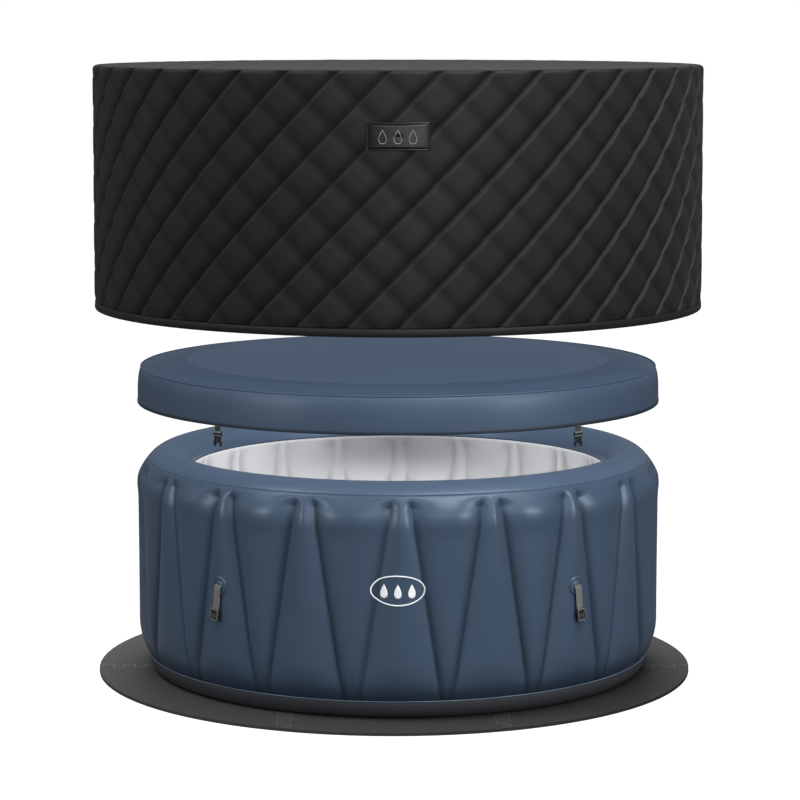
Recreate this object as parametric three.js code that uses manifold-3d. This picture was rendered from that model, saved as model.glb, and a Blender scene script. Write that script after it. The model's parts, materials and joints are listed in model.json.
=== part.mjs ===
// An inflatable hot tub as an exploded stack: a round foam mat of interlocking tiles, the tub with its
// heater unit in the back wall, the padded lid above it, and the quilted thermal jacket above the lid.
// Millimetres, +Z up, the front is -Y, and the origin is on the floor under the middle of the tub.
import * as THREE from "three";
import { mergeVertices } from "three/addons/utils/BufferGeometryUtils.js";
import Module from "manifold-3d";

const wasm = await Module();
wasm.setup();

// ---- driving dimensions ----
const GAP = 0.3; // left between pieces that touch
const RING_STEPS = 48; // facets round a full ring

const MAT_R = 1053;
const MAT_T = 12;
const MAT_X = -14; // the mat lies a little to the left of the tub
const MAT_SEAM_X = 360; // the two seams that run front to back
const MAT_SEAM_Y = -80; // the one seam that runs across
const TOOTH = 37; // length of one jigsaw tooth
const TOOTH_DEPTH = 46;
const TOOTH_FREE = 40; // plain stretch beside a crossing of two seams
const TOOTH_EDGE = 6; // the last tooth ends this far inside the mat's edge
const OVERSHOOT = 60; // how far a cutting shape runs past what it cuts

const FLOOR_Z = MAT_T + GAP; // the tub stands here
const TUB_R = 925;
const WALL_T = 3; // laminated sheet
const CREST_R = 814;
const CREST_Z = FLOOR_Z + 785;
const SHOULDER_Z = FLOOR_Z + 635; // the wall is upright below this
const SHOULDER_W = TUB_R - CREST_R;
const SHOULDER_H = CREST_Z - SHOULDER_Z;
const BAND_DEG = 50; // place of the weld between the wall and the rim, round the shoulder
const WALL_BASE_R = 850; // the wall meets the floor here
const WALL_FOOT_R = 889;
const WALL_FOOT_Z = FLOOR_Z + 62;
const UPRIGHT_Z = FLOOR_Z + 150; // the wall is upright above this
const LINER_R = 736;
const LINER_TOP_Z = FLOOR_Z + 711;
const LINER_Z = [FLOOR_Z + 5, LINER_TOP_Z - 1];
const TUB_FLOOR_T = 8;
const JET_RING_W = 30;
const JET_RING_H = 24;
const JET_RING_LIP = 10; // height of the ring's inner edge
const BADGE_HALF = [92, 51]; // half the width and half the height of the oval
const BADGE_Z = FLOOR_Z + 440;

const BAFFLE_R = [746, 914];
const BAFFLE_Z = [FLOOR_Z + 230, FLOOR_Z + 560];
const BAFFLE_T = 2;
const WEDGES = 18;
const HEATER_CLEAR_DEG = 30; // the tie sheets stop this far to each side of the heater unit
// Each valve's azimuth, in degrees from the front, and its height.
const VALVES = { inflation_valve: [205, FLOOR_Z + 500], drain_valve: [155, FLOOR_Z + 190] };
const VALVE_HOLE_R = 19;

const STRAP_DEG = 40; // the four straps stand this far to each side of the front and the back
const STRAP_W = 25;
const STRAP_T = 2;
const PATCH_R = 31;
const PATCH_Z = FLOOR_Z + 415;
const PATCH_LIFT = 0.6; // the patch stands this far off the wall
const TUB_STRAP_LEN = 80;
const TUB_STRAP_HANG = [9, 4]; // the strap's upper end, out from the wall and above the patch's middle
const BUCKLE_W = 36;
const BUCKLE_T = 13;
const SOCKET_LEN = 42;
const PLUG_LEN = 50;
const STRAP_LEAN_DEG = 6.5; // the tub straps hang a little askew

const LID_HEM_R = 922;
const LID_HEM_Z = FLOOR_Z + 952;
const LID_SEAM_R = 905;
const LID_SEAM_Z = FLOOR_Z + 1075;
const LID_CROWN = 25; // the top bulges this much above its seam
const LID_T = 4;
const LID_PAD_Z = FLOOR_Z + 1000; // underside of the pad
const LID_PAD_INSET = 22; // from the seam to the pad's side
const LID_PAD_DROP = 8; // from the seam down to the pad's top
const LID_STRAP_LEN = 16;
const LID_STRAP_OUT = 5; // the lid strap stands this far out from the hem
const BLADDER_T = 2;
const BLADDER_VALVE_R = 12;

const JACKET_HEM_R = 1067;
const JACKET_HEM_Z = FLOOR_Z + 1286;
const JACKET_HEM_H = 26;
const JACKET_TOP_R = 1060;
const JACKET_TOP_Z = FLOOR_Z + 2131;
const JACKET_T = 12;
const JACKET_ROUND = 14;
const LABEL_R = [1065.1, 1066.8];
const LABEL_X = 100; // half the width of the label
const LABEL_Z = [FLOOR_Z + 1879, FLOOR_Z + 1964];

const HEATER_X = 170; // half the width of the housing
const HEATER_Y = [750, 896];
const HEATER_Z = [FLOOR_Z + 155, FLOOR_Z + 620];
const HATCH_X = 158; // half the width of the hole in the outer wall
const HATCH_Z = [FLOOR_Z + 172, FLOOR_Z + 600];
const HOUSING_T = 4;
const COVER_X = 188;
const COVER_Z = [FLOOR_Z + 152, FLOOR_Z + 626];
const COVER_R = [TUB_R + 1.5, TUB_R + 7];
const LOUVRE = { count: 6, x: 110, z: FLOOR_Z + 230, pitch: 22, height: 8 };
const INLET = { x: 120, z: FLOOR_Z + 430, r: 20 }; // the power inlet
const PUMP_X = -80;
const PUMP_Z = FLOOR_Z + 330;
const PORT_Y = 788; // the line that the pump's outlet and the heater tube share
const VOLUTE_R = 58;
const MOTOR_R = 38;
const PANEL_Z = FLOOR_Z + 540;
const OUTLET_X = 95;
const BUTTON_R = 8;
const BUTTON_PLACES = { power: [-42, 18], heat: [42, 18], bubbles: [-42, -18], filter: [42, -18] };
const PAD_Y = TUB_R + 8;
const CHAMBER_Y = [775, 801];
const OUTLET_PORT_X = [PUMP_X + 40, -12];
const HEATER_TUBE_X = [-10, 120];
const HEATER_TUBE_R = 26;
const BLOWER = { x: 30, z: FLOOR_Z + 225, r: 44 };
const FILTER_R = 58;
const FILTER_COVER_R = 56;
const CARTRIDGE_R = [40, 47]; // the bottoms and the tops of the pleats
const CARTRIDGE_H = 58;

// ---- materials ----
function paint(color, roughness, metalness = 0) {
  return new THREE.MeshStandardMaterial({ color, roughness, metalness });
}

const NAVY = paint(0x43556a, 0.45);
const NAVY_LID = paint(0x46586b, 0.5);
const LINER = paint(0xb4b5b9, 0.4);
const FOAM = paint(0x4b4b4b, 0.9);
const QUILT = paint(0x303030, 0.6);
const LABEL = paint(0x161616, 0.25);
const WEBBING = paint(0x6b6b69, 0.85);
const BLACK_WEBBING = paint(0x26282a, 0.8);
const BUCKLE = paint(0x2b2b2b, 0.3);
const DARK_PLASTIC = paint(0x2f343a, 0.4);
const GREY_PLASTIC = paint(0x8d9196, 0.45);
const WHITE_PRINT = paint(0xe8ebee, 0.4);
const METAL = paint(0xa8abae, 0.3, 0.9);
const BOARD = paint(0x2f6b45, 0.5);
const FILTER_PAPER = paint(0xe9ebee, 0.9);

// ---- helpers ----
const root = new THREE.Group();
const rad = THREE.MathUtils.degToRad;

function add(name, geometry, material, parent = root) {
  const mesh = new THREE.Mesh(geometry, material);
  mesh.name = name;
  parent.add(mesh);
  return mesh;
}

function solidOf(geometry) {
  const bare = geometry.index ? geometry.toNonIndexed() : geometry.clone();
  bare.deleteAttribute("normal");
  bare.deleteAttribute("uv");
  const merged = mergeVertices(bare, 1e-3);
  return new wasm.Manifold(
    new wasm.Mesh({
      numProp: 3,
      vertProperties: new Float32Array(merged.attributes.position.array),
      triVerts: new Uint32Array(merged.index.array),
    }),
  );
}

function geometryOf(solid) {
  const mesh = solid.getMesh();
  const geometry = new THREE.BufferGeometry();
  geometry.setAttribute("position", new THREE.BufferAttribute(new Float32Array(mesh.vertProperties), 3));
  geometry.setIndex(new THREE.BufferAttribute(new Uint32Array(mesh.triVerts), 1));
  return geometry;
}

const joined = (...geometries) => geometryOf(geometries.map(solidOf).reduce((a, b) => a.add(b)));

function cut(geometry, ...holes) {
  return geometryOf(holes.map(solidOf).reduce((a, b) => a.subtract(b), solidOf(geometry)));
}

const common = (a, b) => geometryOf(solidOf(a).intersect(solidOf(b)));

// A box from its lowest and highest corners.
function box(x, y, z) {
  const geometry = new THREE.BoxGeometry(x[1] - x[0], y[1] - y[0], z[1] - z[0]);
  return geometry.translate((x[0] + x[1]) / 2, (y[0] + y[1]) / 2, (z[0] + z[1]) / 2);
}

// A ring about +Z from a closed profile of [radius, height] points; azimuth 0 is the front, towards -Y.
function ring(profile, steps = RING_STEPS) {
  let area = 0;
  profile.forEach(([r, z], i) => {
    const [nextR, nextZ] = profile[(i + 1) % profile.length];
    area += r * nextZ - nextR * z;
  });
  const ordered = area > 0 ? profile : [...profile].reverse();
  const points = [...ordered, ordered[0]].map(([r, z]) => new THREE.Vector2(r, z));
  return new THREE.LatheGeometry(points, steps).rotateX(Math.PI / 2);
}

// A solid of revolution about +Z whose profile starts and ends on the axis, listed from the bottom up.
function turned(profile, steps = 16) {
  const points = profile.map(([r, z]) => new THREE.Vector2(r, z));
  return new THREE.LatheGeometry(points, steps).rotateX(Math.PI / 2);
}

// The closed profile of a sheet: the outer line, then the same line moved to its left by the thickness.
function sheet(line, thickness) {
  const inner = line.map(([r, z], i) => {
    const before = line[Math.max(i - 1, 0)];
    const after = line[Math.min(i + 1, line.length - 1)];
    const dr = after[0] - before[0];
    const dz = after[1] - before[1];
    const length = Math.hypot(dr, dz);
    return [r - (dz / length) * thickness, z + (dr / length) * thickness];
  });
  return [...line, ...inner.reverse()];
}

// Points round an elliptical arc, in degrees from the outward direction upwards.
function arc(centreR, centreZ, halfW, halfH, from, to, steps) {
  return Array.from({ length: steps + 1 }, (_, i) => {
    const angle = rad(from + ((to - from) * i) / steps);
    return [centreR + halfW * Math.cos(angle), centreZ + halfH * Math.sin(angle)];
  });
}

// A group whose own -Y axis points outwards at an azimuth counted from the front towards +X.
function station(degrees, parent = root) {
  const group = new THREE.Group();
  group.rotation.z = rad(degrees);
  parent.add(group);
  return group;
}

function extruded(points, depth, holes = []) {
  const shape = new THREE.Shape(points.map(([x, y]) => new THREE.Vector2(x, y)));
  shape.holes = holes;
  return new THREE.ExtrudeGeometry(shape, { depth, bevelEnabled: false, curveSegments: 8 });
}

// A cylinder along Y between two places on that axis.
function rod(radius, x, z, y, steps = 16) {
  const geometry = new THREE.CylinderGeometry(radius, radius, y[1] - y[0], steps);
  return geometry.translate(x, (y[0] + y[1]) / 2, z);
}

// ---- the mat ----
// One toothed seam line from start to end, at a distance from the mat's middle, with its teeth inside the
// round edge; side is +1 on the tile below the seam and -1 on the tile above it.
function seamLine(start, end, distance, side) {
  const forward = Math.sign(end - start);
  const reach = Math.sqrt(MAT_R ** 2 - (Math.abs(distance) + TOOTH_DEPTH / 2) ** 2) - TOOTH_EDGE;
  const from = Math.max(Math.min(start, end) + TOOTH_FREE, -reach);
  const to = Math.min(Math.max(start, end) - TOOTH_FREE, reach);
  const count = Math.floor((to - from) / TOOTH);
  const first = (from + to - count * TOOTH) / 2;
  const low = Math.min(start, end);
  const shrink = (side * GAP) / 2;
  const points = [[low, -shrink]];
  for (let i = 0; i < count; i += 1) {
    const level = i % 2 ? -TOOTH_DEPTH / 2 : TOOTH_DEPTH / 2;
    const rise = i % 2 ? -shrink : shrink;
    points.push([first + i * TOOTH + rise, points[points.length - 1][1]]);
    points.push([first + i * TOOTH + rise, level - shrink]);
  }
  const last = (count - 1) % 2 ? shrink : -shrink;
  points.push([first + count * TOOTH + last, points[points.length - 1][1]]);
  points.push([first + count * TOOTH + last, -shrink]);
  points.push([Math.max(start, end), -shrink]);
  return forward > 0 ? points : points.reverse();
}

// A tile's outline: each side is either a seam, with teeth, or lies outside the round mat.
function tileOutline(left, right, low, high) {
  const edge = MAT_R + OVERSHOOT;
  const x0 = left ?? -edge;
  const x1 = right ?? edge;
  const y0 = low ?? -edge;
  const y1 = high ?? edge;
  const bottom = low === null ? [[x0, y0], [x1, y0]] : seamLine(x0, x1, y0, -1).map(([t, d]) => [t, y0 + d]);
  const top = high === null ? [[x1, y1], [x0, y1]] : seamLine(x1, x0, y1, 1).map(([t, d]) => [t, y1 + d]);
  const far = right === null ? [] : seamLine(y0, y1, x1, 1).map(([t, d]) => [x1 + d, t]);
  const near = left === null ? [] : seamLine(y1, y0, x0, -1).map(([t, d]) => [x0 + d, t]);
  const inset = GAP / 2;
  const trim = (points) => points.slice(1, -1);
  const corner = (x, y) => [
    x + (x === x0 && left !== null ? inset : 0) - (x === x1 && right !== null ? inset : 0),
    y + (y === y0 && low !== null ? inset : 0) - (y === y1 && high !== null ? inset : 0),
  ];
  return [
    corner(x0, y0), ...trim(bottom), corner(x1, y0), ...trim(far),
    corner(x1, y1), ...trim(top), corner(x0, y1), ...trim(near),
  ];
}

function mat() {
  const disc = new THREE.CylinderGeometry(MAT_R, MAT_R, MAT_T, 96).rotateX(Math.PI / 2);
  disc.translate(0, 0, MAT_T / 2);
  const seam = MAT_SEAM_X;
  const columns = { left: [null, -seam], middle: [-seam, seam], right: [seam, null] };
  const rows = { front: [null, MAT_SEAM_Y], back: [MAT_SEAM_Y, null] };
  for (const [row, [low, high]] of Object.entries(rows)) {
    for (const [column, [left, right]] of Object.entries(columns)) {
      const prism = extruded(tileOutline(left, right, low, high), 3 * MAT_T).translate(0, 0, -MAT_T);
      add(`mat_tile_${row}_${column}`, common(disc, prism), FOAM).position.x = MAT_X;
    }
  }
}

// ---- the tub ----
function tub() {
  const wallLine = [
    [LINER_R + 20, FLOOR_Z],
    [WALL_BASE_R, FLOOR_Z],
    [WALL_FOOT_R, WALL_FOOT_Z],
    [TUB_R, UPRIGHT_Z],
    [TUB_R, SHOULDER_Z],
    ...arc(CREST_R, SHOULDER_Z, SHOULDER_W, SHOULDER_H, 0, BAND_DEG - 1, 3).slice(1),
  ];
  const hatch = box([-HATCH_X, HATCH_X], [TUB_R - OVERSHOOT, TUB_R + OVERSHOOT], HATCH_Z);
  const valveHoles = Object.values(VALVES).map(([degrees, z]) =>
    rod(VALVE_HOLE_R, 0, z, [-TUB_R - OVERSHOOT, -TUB_R + OVERSHOOT]).rotateZ(rad(degrees)),
  );
  add("tub_outer_wall", cut(ring(sheet(wallLine, WALL_T)), hatch, ...valveHoles), NAVY);

  const rimLine = [
    ...arc(CREST_R, SHOULDER_Z, SHOULDER_W, SHOULDER_H, BAND_DEG, 90, 3),
    ...arc(CREST_R, LINER_TOP_Z, LINER_R - CREST_R, CREST_Z - LINER_TOP_Z, 90, 0, 3).slice(1),
  ];
  add("tub_top_rim", ring(sheet(rimLine, WALL_T)), NAVY);

  const linerLine = [
    [LINER_R, LINER_Z[1]],
    [LINER_R, LINER_Z[0]],
  ];
  const across = [LINER_R - OVERSHOOT, LINER_R + OVERSHOOT];
  const filterHole = rod(24, PUMP_X, PUMP_Z, across);
  const outletHole = rod(22, OUTLET_X, PUMP_Z, across);
  const liner = cut(ring(sheet(linerLine, WALL_T)), filterHole, outletHole);
  add("tub_inner_wall", liner, LINER);

  const floorEdge = LINER_R - 2;
  const floor = turned([
    [0, FLOOR_Z],
    [floorEdge, FLOOR_Z],
    [floorEdge, FLOOR_Z + TUB_FLOOR_T],
    [0, FLOOR_Z + TUB_FLOOR_T],
  ], RING_STEPS);
  add("tub_floor", floor, LINER);
}

// The tie sheets in the air chamber: one zigzag band between the two walls, open behind for the heater unit.
function wallBaffles() {
  const first = -180 + HEATER_CLEAR_DEG;
  const step = 180 / WEDGES;
  const count = Math.floor((2 * -first) / step) + 1;
  const line = (offset) => Array.from({ length: count }, (_, i) => {
    const angle = rad(first + i * step);
    const radius = BAFFLE_R[i % 2] + offset;
    return [radius * Math.sin(angle), -radius * Math.cos(angle)];
  });
  const outline = [...line(BAFFLE_T), ...line(-BAFFLE_T).reverse()];
  const band = extruded(outline, BAFFLE_Z[1] - BAFFLE_Z[0]).translate(0, 0, BAFFLE_Z[0]);
  add("wall_baffles", band, NAVY);
}

// Air comes into the water through this ring at the foot of the inner wall.
function airJetRing() {
  const z = FLOOR_Z + TUB_FLOOR_T + GAP;
  const inner = LINER_R - JET_RING_W;
  const outer = LINER_R - 1.5 * WALL_T;
  const profile = [
    [outer, z],
    [outer, z + JET_RING_H],
    [inner, z + JET_RING_LIP],
    [inner, z],
  ];
  add("air_jet_ring", ring(profile), LINER);
}

// A flat oval mark on the front of the wall.
function badge() {
  const shape = new THREE.Shape();
  shape.absellipse(0, 0, ...BADGE_HALF, 0, 2 * Math.PI, false, 0);
  const settings = { depth: OVERSHOOT, bevelEnabled: false, curveSegments: 18 };
  const plate = new THREE.ExtrudeGeometry(shape, settings);
  plate.rotateX(Math.PI / 2).translate(0, OVERSHOOT / 2 - TUB_R, BADGE_Z);
  const skin = ring([
    [TUB_R + 0.5, BADGE_Z - OVERSHOOT],
    [TUB_R + 2, BADGE_Z - OVERSHOOT],
    [TUB_R + 2, BADGE_Z + OVERSHOOT],
    [TUB_R + 0.5, BADGE_Z + OVERSHOOT],
  ]);
  add("tub_badge", common(skin, plate), WHITE_PRINT);
}

// ---- valves ----
// A flanged tube through the outer wall and its screw cap with a finger bar, for air or for water.
function wallValve(name, degrees, z) {
  const group = station(degrees);
  const tube = ring([[13, -50], [17, -50], [17, 1.5], [27, 1.5], [27, 5], [13, 5]], 16).rotateX(Math.PI / 2);
  add(name, tube, DARK_PLASTIC, group).position.set(0, -TUB_R, z);
  const body = turned([[0, -8], [12, -8], [12, 5.5], [24, 5.5], [24, 15], [20, 18], [0, 18]]);
  const grip = box([-3, 3], [-17, 17], [16, 22]);
  const cap = joined(body, grip).rotateX(Math.PI / 2);
  add(`${name}_cap`, cap, DARK_PLASTIC, group).position.set(0, -TUB_R, z);
}

// ---- straps and buckles ----
// The patch is a welded disc with a raised rim, and it hides the strap's sewn end.
function wallPatch() {
  const profile = [[0, 0], [PATCH_R, 0], [PATCH_R, 2.5], [PATCH_R - 4, 4.5], [0, 4.5]];
  return turned(profile, 16).rotateX(Math.PI / 2);
}

// The socket is open at its lower end, where the plug goes in, and at its two sides for the release prongs.
function buckleSocket() {
  const w = BUCKLE_W / 2;
  const outline = [[-w + 3, 0], [-w, -6], [-w, -SOCKET_LEN], [w, -SOCKET_LEN], [w, -6], [w - 3, 0]];
  const body = extruded(outline, BUCKLE_T).rotateX(Math.PI / 2).translate(0, BUCKLE_T / 2, 0);
  const mouth = box([-w + 3, w - 3], [-4.5, 4.5], [-SOCKET_LEN - 5, -14]);
  const sides = box([-w - 5, w + 5], [-3, 3], [-32, -20]);
  return cut(body, mouth, sides);
}

// The plug: a bar for the strap, two sprung prongs and a middle guide.
function bucklePlug() {
  const w = BUCKLE_W / 2;
  const outline = [
    [-w, 0], [-w, -16], [-w + 4, -20], [-w + 4, -30], [-w, -36], [-w, -44], [-w + 5, -PLUG_LEN],
    [-w + 9, -PLUG_LEN], [-w + 9, -22], [-3, -22], [-3, -40], [3, -40], [3, -22], [w - 9, -22],
    [w - 9, -PLUG_LEN], [w - 5, -PLUG_LEN], [w, -44], [w, -36], [w - 4, -30], [w - 4, -20], [w, -16], [w, 0],
  ];
  return extruded(outline, 6).rotateX(Math.PI / 2).translate(0, 3, 0);
}

function straps() {
  const places = {
    front_left: -STRAP_DEG,
    front_right: STRAP_DEG,
    back_right: 180 - STRAP_DEG,
    back_left: 180 + STRAP_DEG,
  };
  for (const [place, degrees] of Object.entries(places)) {
    const group = station(degrees);
    add(`wall_patch_${place}`, wallPatch(), NAVY, group).position.set(0, -TUB_R - PATCH_LIFT, PATCH_Z);

    const lean = place === "front_left" || place === "back_right" ? -STRAP_LEAN_DEG : STRAP_LEAN_DEG;
    const hanging = new THREE.Group();
    hanging.position.set(0, -TUB_R - TUB_STRAP_HANG[0], PATCH_Z + TUB_STRAP_HANG[1]);
    hanging.rotation.y = rad(-lean);
    group.add(hanging);
    const web = box([-STRAP_W / 2, STRAP_W / 2], [-STRAP_T / 2, STRAP_T / 2], [-TUB_STRAP_LEN, 0]);
    add(`tub_strap_${place}`, web, WEBBING, hanging);
    add(`buckle_socket_${place}`, buckleSocket(), BUCKLE, hanging).position.z = -TUB_STRAP_LEN - GAP;

    const lidWeb = box([-STRAP_W / 2, STRAP_W / 2], [-STRAP_T / 2, STRAP_T / 2], [-LID_STRAP_LEN, 0]);
    const lidHook = new THREE.Group();
    lidHook.position.set(0, -LID_HEM_R - LID_STRAP_OUT, LID_HEM_Z - GAP);
    group.add(lidHook);
    add(`lid_strap_${place}`, lidWeb, BLACK_WEBBING, lidHook);
    add(`buckle_plug_${place}`, bucklePlug(), BUCKLE, lidHook).position.z = -LID_STRAP_LEN - GAP;
  }
}

// ---- the lid ----
function lid() {
  const crown = (radius, share, drop = 0) => [radius, LID_SEAM_Z + LID_CROWN * share - drop];
  const middleZ = (LID_HEM_Z + LID_SEAM_Z) / 2;
  const cover = turned([
    crown(0, 1, LID_T),
    crown(640, 0.66, LID_T),
    [LID_SEAM_R - LID_T, LID_SEAM_Z - LID_T],
    [LID_HEM_R - LID_T - 3, middleZ],
    [LID_HEM_R - LID_T, LID_HEM_Z],
    [LID_HEM_R, LID_HEM_Z],
    [LID_HEM_R - 3, middleZ],
    [LID_SEAM_R, LID_SEAM_Z],
    crown(840, 0.3),
    crown(640, 0.66),
    crown(0, 1),
  ], RING_STEPS);
  add("lid_cover", cover, NAVY_LID);

  // The pad is an air-filled bladder: a thin skin with its valve hole in the middle of the underside.
  const padR = LID_SEAM_R - LID_PAD_INSET;
  const padTop = LID_SEAM_Z - LID_PAD_DROP;
  const skin = (inset) => [
    [BLADDER_VALVE_R, LID_PAD_Z + inset],
    [padR - 12 - inset, LID_PAD_Z + inset],
    [padR - inset, LID_PAD_Z + 18],
    [padR - inset, padTop - inset],
  ];
  const bladder = turned([
    [0, padTop - BLADDER_T],
    ...skin(BLADDER_T).reverse(),
    ...skin(0),
    [0, padTop],
  ], RING_STEPS);
  add("lid_bladder", bladder, NAVY_LID);

  const piping = ring(arc(LID_SEAM_R + 4.6, LID_SEAM_Z + 2, 3, 3, 0, 270, 3));
  add("lid_piping", piping, NAVY_LID);
}

// ---- the jacket ----
function jacket() {
  const topUnder = JACKET_TOP_Z - JACKET_T;
  const side = ring([
    [JACKET_HEM_R, JACKET_HEM_Z + JACKET_HEM_H],
    [JACKET_TOP_R + 3, topUnder - GAP],
    [JACKET_TOP_R - JACKET_T, topUnder - GAP],
    [JACKET_HEM_R - JACKET_T, JACKET_HEM_Z + JACKET_HEM_H],
  ]);
  add("jacket_side", side, QUILT);

  const top = turned([
    [0, topUnder],
    [JACKET_TOP_R + 3, topUnder],
    [JACKET_TOP_R + 2, topUnder + 3],
    [JACKET_TOP_R - JACKET_ROUND, JACKET_TOP_Z],
    [0, JACKET_TOP_Z],
  ], RING_STEPS);
  add("jacket_top", top, QUILT);

  const hem = ring([
    [JACKET_HEM_R - 2, JACKET_HEM_Z],
    [JACKET_HEM_R - 2, JACKET_HEM_Z + JACKET_HEM_H - GAP],
    [JACKET_HEM_R - JACKET_T + 2, JACKET_HEM_Z + JACKET_HEM_H - GAP],
    [JACKET_HEM_R - JACKET_T + 2, JACKET_HEM_Z],
  ]);
  add("jacket_hem", hem, QUILT);

  const skin = ring([
    [LABEL_R[0], LABEL_Z[0]],
    [LABEL_R[1], LABEL_Z[0]],
    [LABEL_R[1], LABEL_Z[1]],
    [LABEL_R[0], LABEL_Z[1]],
  ]);
  const front = box([-LABEL_X, LABEL_X], [-JACKET_HEM_R - OVERSHOOT, -JACKET_HEM_R + OVERSHOOT], LABEL_Z);
  add("jacket_label", common(skin, front), LABEL);
}

// ---- the heater unit ----
// An open tray in the air chamber that holds the pump, the heater and the blower.
function heaterHousing() {
  const outside = box([-HEATER_X, HEATER_X], HEATER_Y, HEATER_Z);
  const inside = box(
    [-HEATER_X + HOUSING_T, HEATER_X - HOUSING_T],
    [HEATER_Y[0] + HOUSING_T, HEATER_Y[1] + OVERSHOOT],
    [HEATER_Z[0] + HOUSING_T, HEATER_Z[1] - HOUSING_T],
  );
  const wall = [HEATER_Y[0] - HOUSING_T, HEATER_Y[0] + 2 * HOUSING_T];
  const inlet = rod(20, PUMP_X, PUMP_Z, wall);
  const outlet = rod(20, OUTLET_X, PUMP_Z, wall);
  add("heater_housing", cut(outside, inside, inlet, outlet), GREY_PLASTIC);
}

// The curved cover over the hatch, with a row of louvres, a flat pad for the panel and a hole for the inlet.
function serviceCover() {
  const skin = ring([
    [COVER_R[0], COVER_Z[0]],
    [COVER_R[1], COVER_Z[0]],
    [COVER_R[1], COVER_Z[1]],
    [COVER_R[0], COVER_Z[1]],
  ]);
  const through = [TUB_R - OVERSHOOT, TUB_R + OVERSHOOT];
  const plate = common(skin, box([-COVER_X, COVER_X], through, COVER_Z));
  const pad = box([-84, 84], [TUB_R - 2, PAD_Y], [PANEL_Z - 44, PANEL_Z + 44]);
  const louvres = Array.from({ length: LOUVRE.count }, (_, i) => {
    const z = LOUVRE.z + i * LOUVRE.pitch;
    return box([-LOUVRE.x, LOUVRE.x], through, [z - LOUVRE.height / 2, z + LOUVRE.height / 2]);
  });
  const inletHole = rod(INLET.r + 2, INLET.x, INLET.z, through);
  add("service_cover", cut(joined(plate, pad), ...louvres, inletHole), DARK_PLASTIC);
}

function controlPanel() {
  const plate = box([-76, 76], [PAD_Y + GAP, PAD_Y + 6], [PANEL_Z - 38, PANEL_Z + 38]);
  const wells = Object.values(BUTTON_PLACES).map(([x, z]) =>
    rod(BUTTON_R + 0.6, x, PANEL_Z + z, [PAD_Y - 5, PAD_Y + 20]),
  );
  add("control_panel", cut(plate, ...wells), DARK_PLASTIC);
  for (const [name, [x, z]] of Object.entries(BUTTON_PLACES)) {
    add(`button_${name}`, rod(BUTTON_R, x, PANEL_Z + z, [PAD_Y + 2.4, PAD_Y + 8]), GREY_PLASTIC);
  }
  const board = box([-70, 70], [PAD_Y - 52, PAD_Y - 50], [PANEL_Z - 60, PANEL_Z + 34]);
  add("circuit_board", board, BOARD);
  const inlet = rod(INLET.r, INLET.x, INLET.z, [TUB_R - 45, TUB_R + 12]);
  const well = box([INLET.x - 12, INLET.x + 12], [TUB_R - 20, TUB_R + 20], [INLET.z - 8, INLET.z + 8]);
  add("power_inlet", cut(inlet, well), DARK_PLASTIC);
}

// A cylinder along X between two places, on the line of the pump's outlet.
function crossRod(radius, x) {
  const geometry = new THREE.CylinderGeometry(radius, radius, x[1] - x[0], 16).rotateZ(Math.PI / 2);
  return geometry.translate((x[0] + x[1]) / 2, PORT_Y, PUMP_Z);
}

// The pump: a flooded chamber with an inlet towards the water, a side outlet, and a motor behind.
function pump() {
  const volute = rod(VOLUTE_R, PUMP_X, PUMP_Z, [PORT_Y - 20, PORT_Y + 20], 20);
  const motor = rod(MOTOR_R, PUMP_X, PUMP_Z, [PORT_Y + 18, PORT_Y + 92]);
  const nozzle = rod(17, PUMP_X, PUMP_Z, [LINER_R - 24, PORT_Y - 18]);
  const outlet = crossRod(16, OUTLET_PORT_X);
  const chamber = rod(48, PUMP_X, PUMP_Z, CHAMBER_Y, 20);
  const inletBore = rod(12, PUMP_X, PUMP_Z, [LINER_R - 30, PORT_Y - 8]);
  const outletBore = crossRod(11, [PUMP_X + 20, PUMP_X + 100]);
  add("pump_body", cut(joined(volute, motor, nozzle, outlet), chamber, inletBore, outletBore), DARK_PLASTIC);

  const disc = rod(42, PUMP_X, PUMP_Z, [CHAMBER_Y[1] - 7, CHAMBER_Y[1] - 3], 20);
  const hub = rod(9, PUMP_X, PUMP_Z, [CHAMBER_Y[0] + 6, CHAMBER_Y[1] - 4]);
  const vanes = Array.from({ length: 6 }, (_, i) => {
    const vane = box([6, 40], [CHAMBER_Y[0] + 5, CHAMBER_Y[1] - 4], [-1.5, 1.5]);
    return vane.rotateY(rad(60 * i)).translate(PUMP_X, 0, PUMP_Z);
  });
  add("pump_impeller", joined(disc, hub, ...vanes), GREY_PLASTIC);
}

// The heater tube takes the pump's outlet and leads back into the water through the inner wall.
function heaterTube() {
  const nozzle = rod(17, OUTLET_X, PUMP_Z, [LINER_R - 30, PORT_Y + 2]);
  const outside = joined(crossRod(HEATER_TUBE_R, HEATER_TUBE_X), nozzle);
  const bore = crossRod(HEATER_TUBE_R - 6, [HEATER_TUBE_X[0] - 2, HEATER_TUBE_X[1] - 4]);
  const nozzleBore = rod(12, OUTLET_X, PUMP_Z, [LINER_R - 40, PORT_Y + 2]);
  add("heater_tube", cut(outside, bore, nozzleBore), METAL);
}

// The blower that feeds the air ring, a snail with a round outlet.
function airBlower() {
  const { x, z, r } = BLOWER;
  const snail = rod(r, x, z, [790, 850], 20);
  const outlet = box([x + 30, x + 100], [800, 840], [z - 42, z - 10]);
  const eye = rod(r / 2, x, z, [830, 860]);
  add("air_blower", cut(joined(snail, outlet), eye), DARK_PLASTIC);
}

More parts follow.
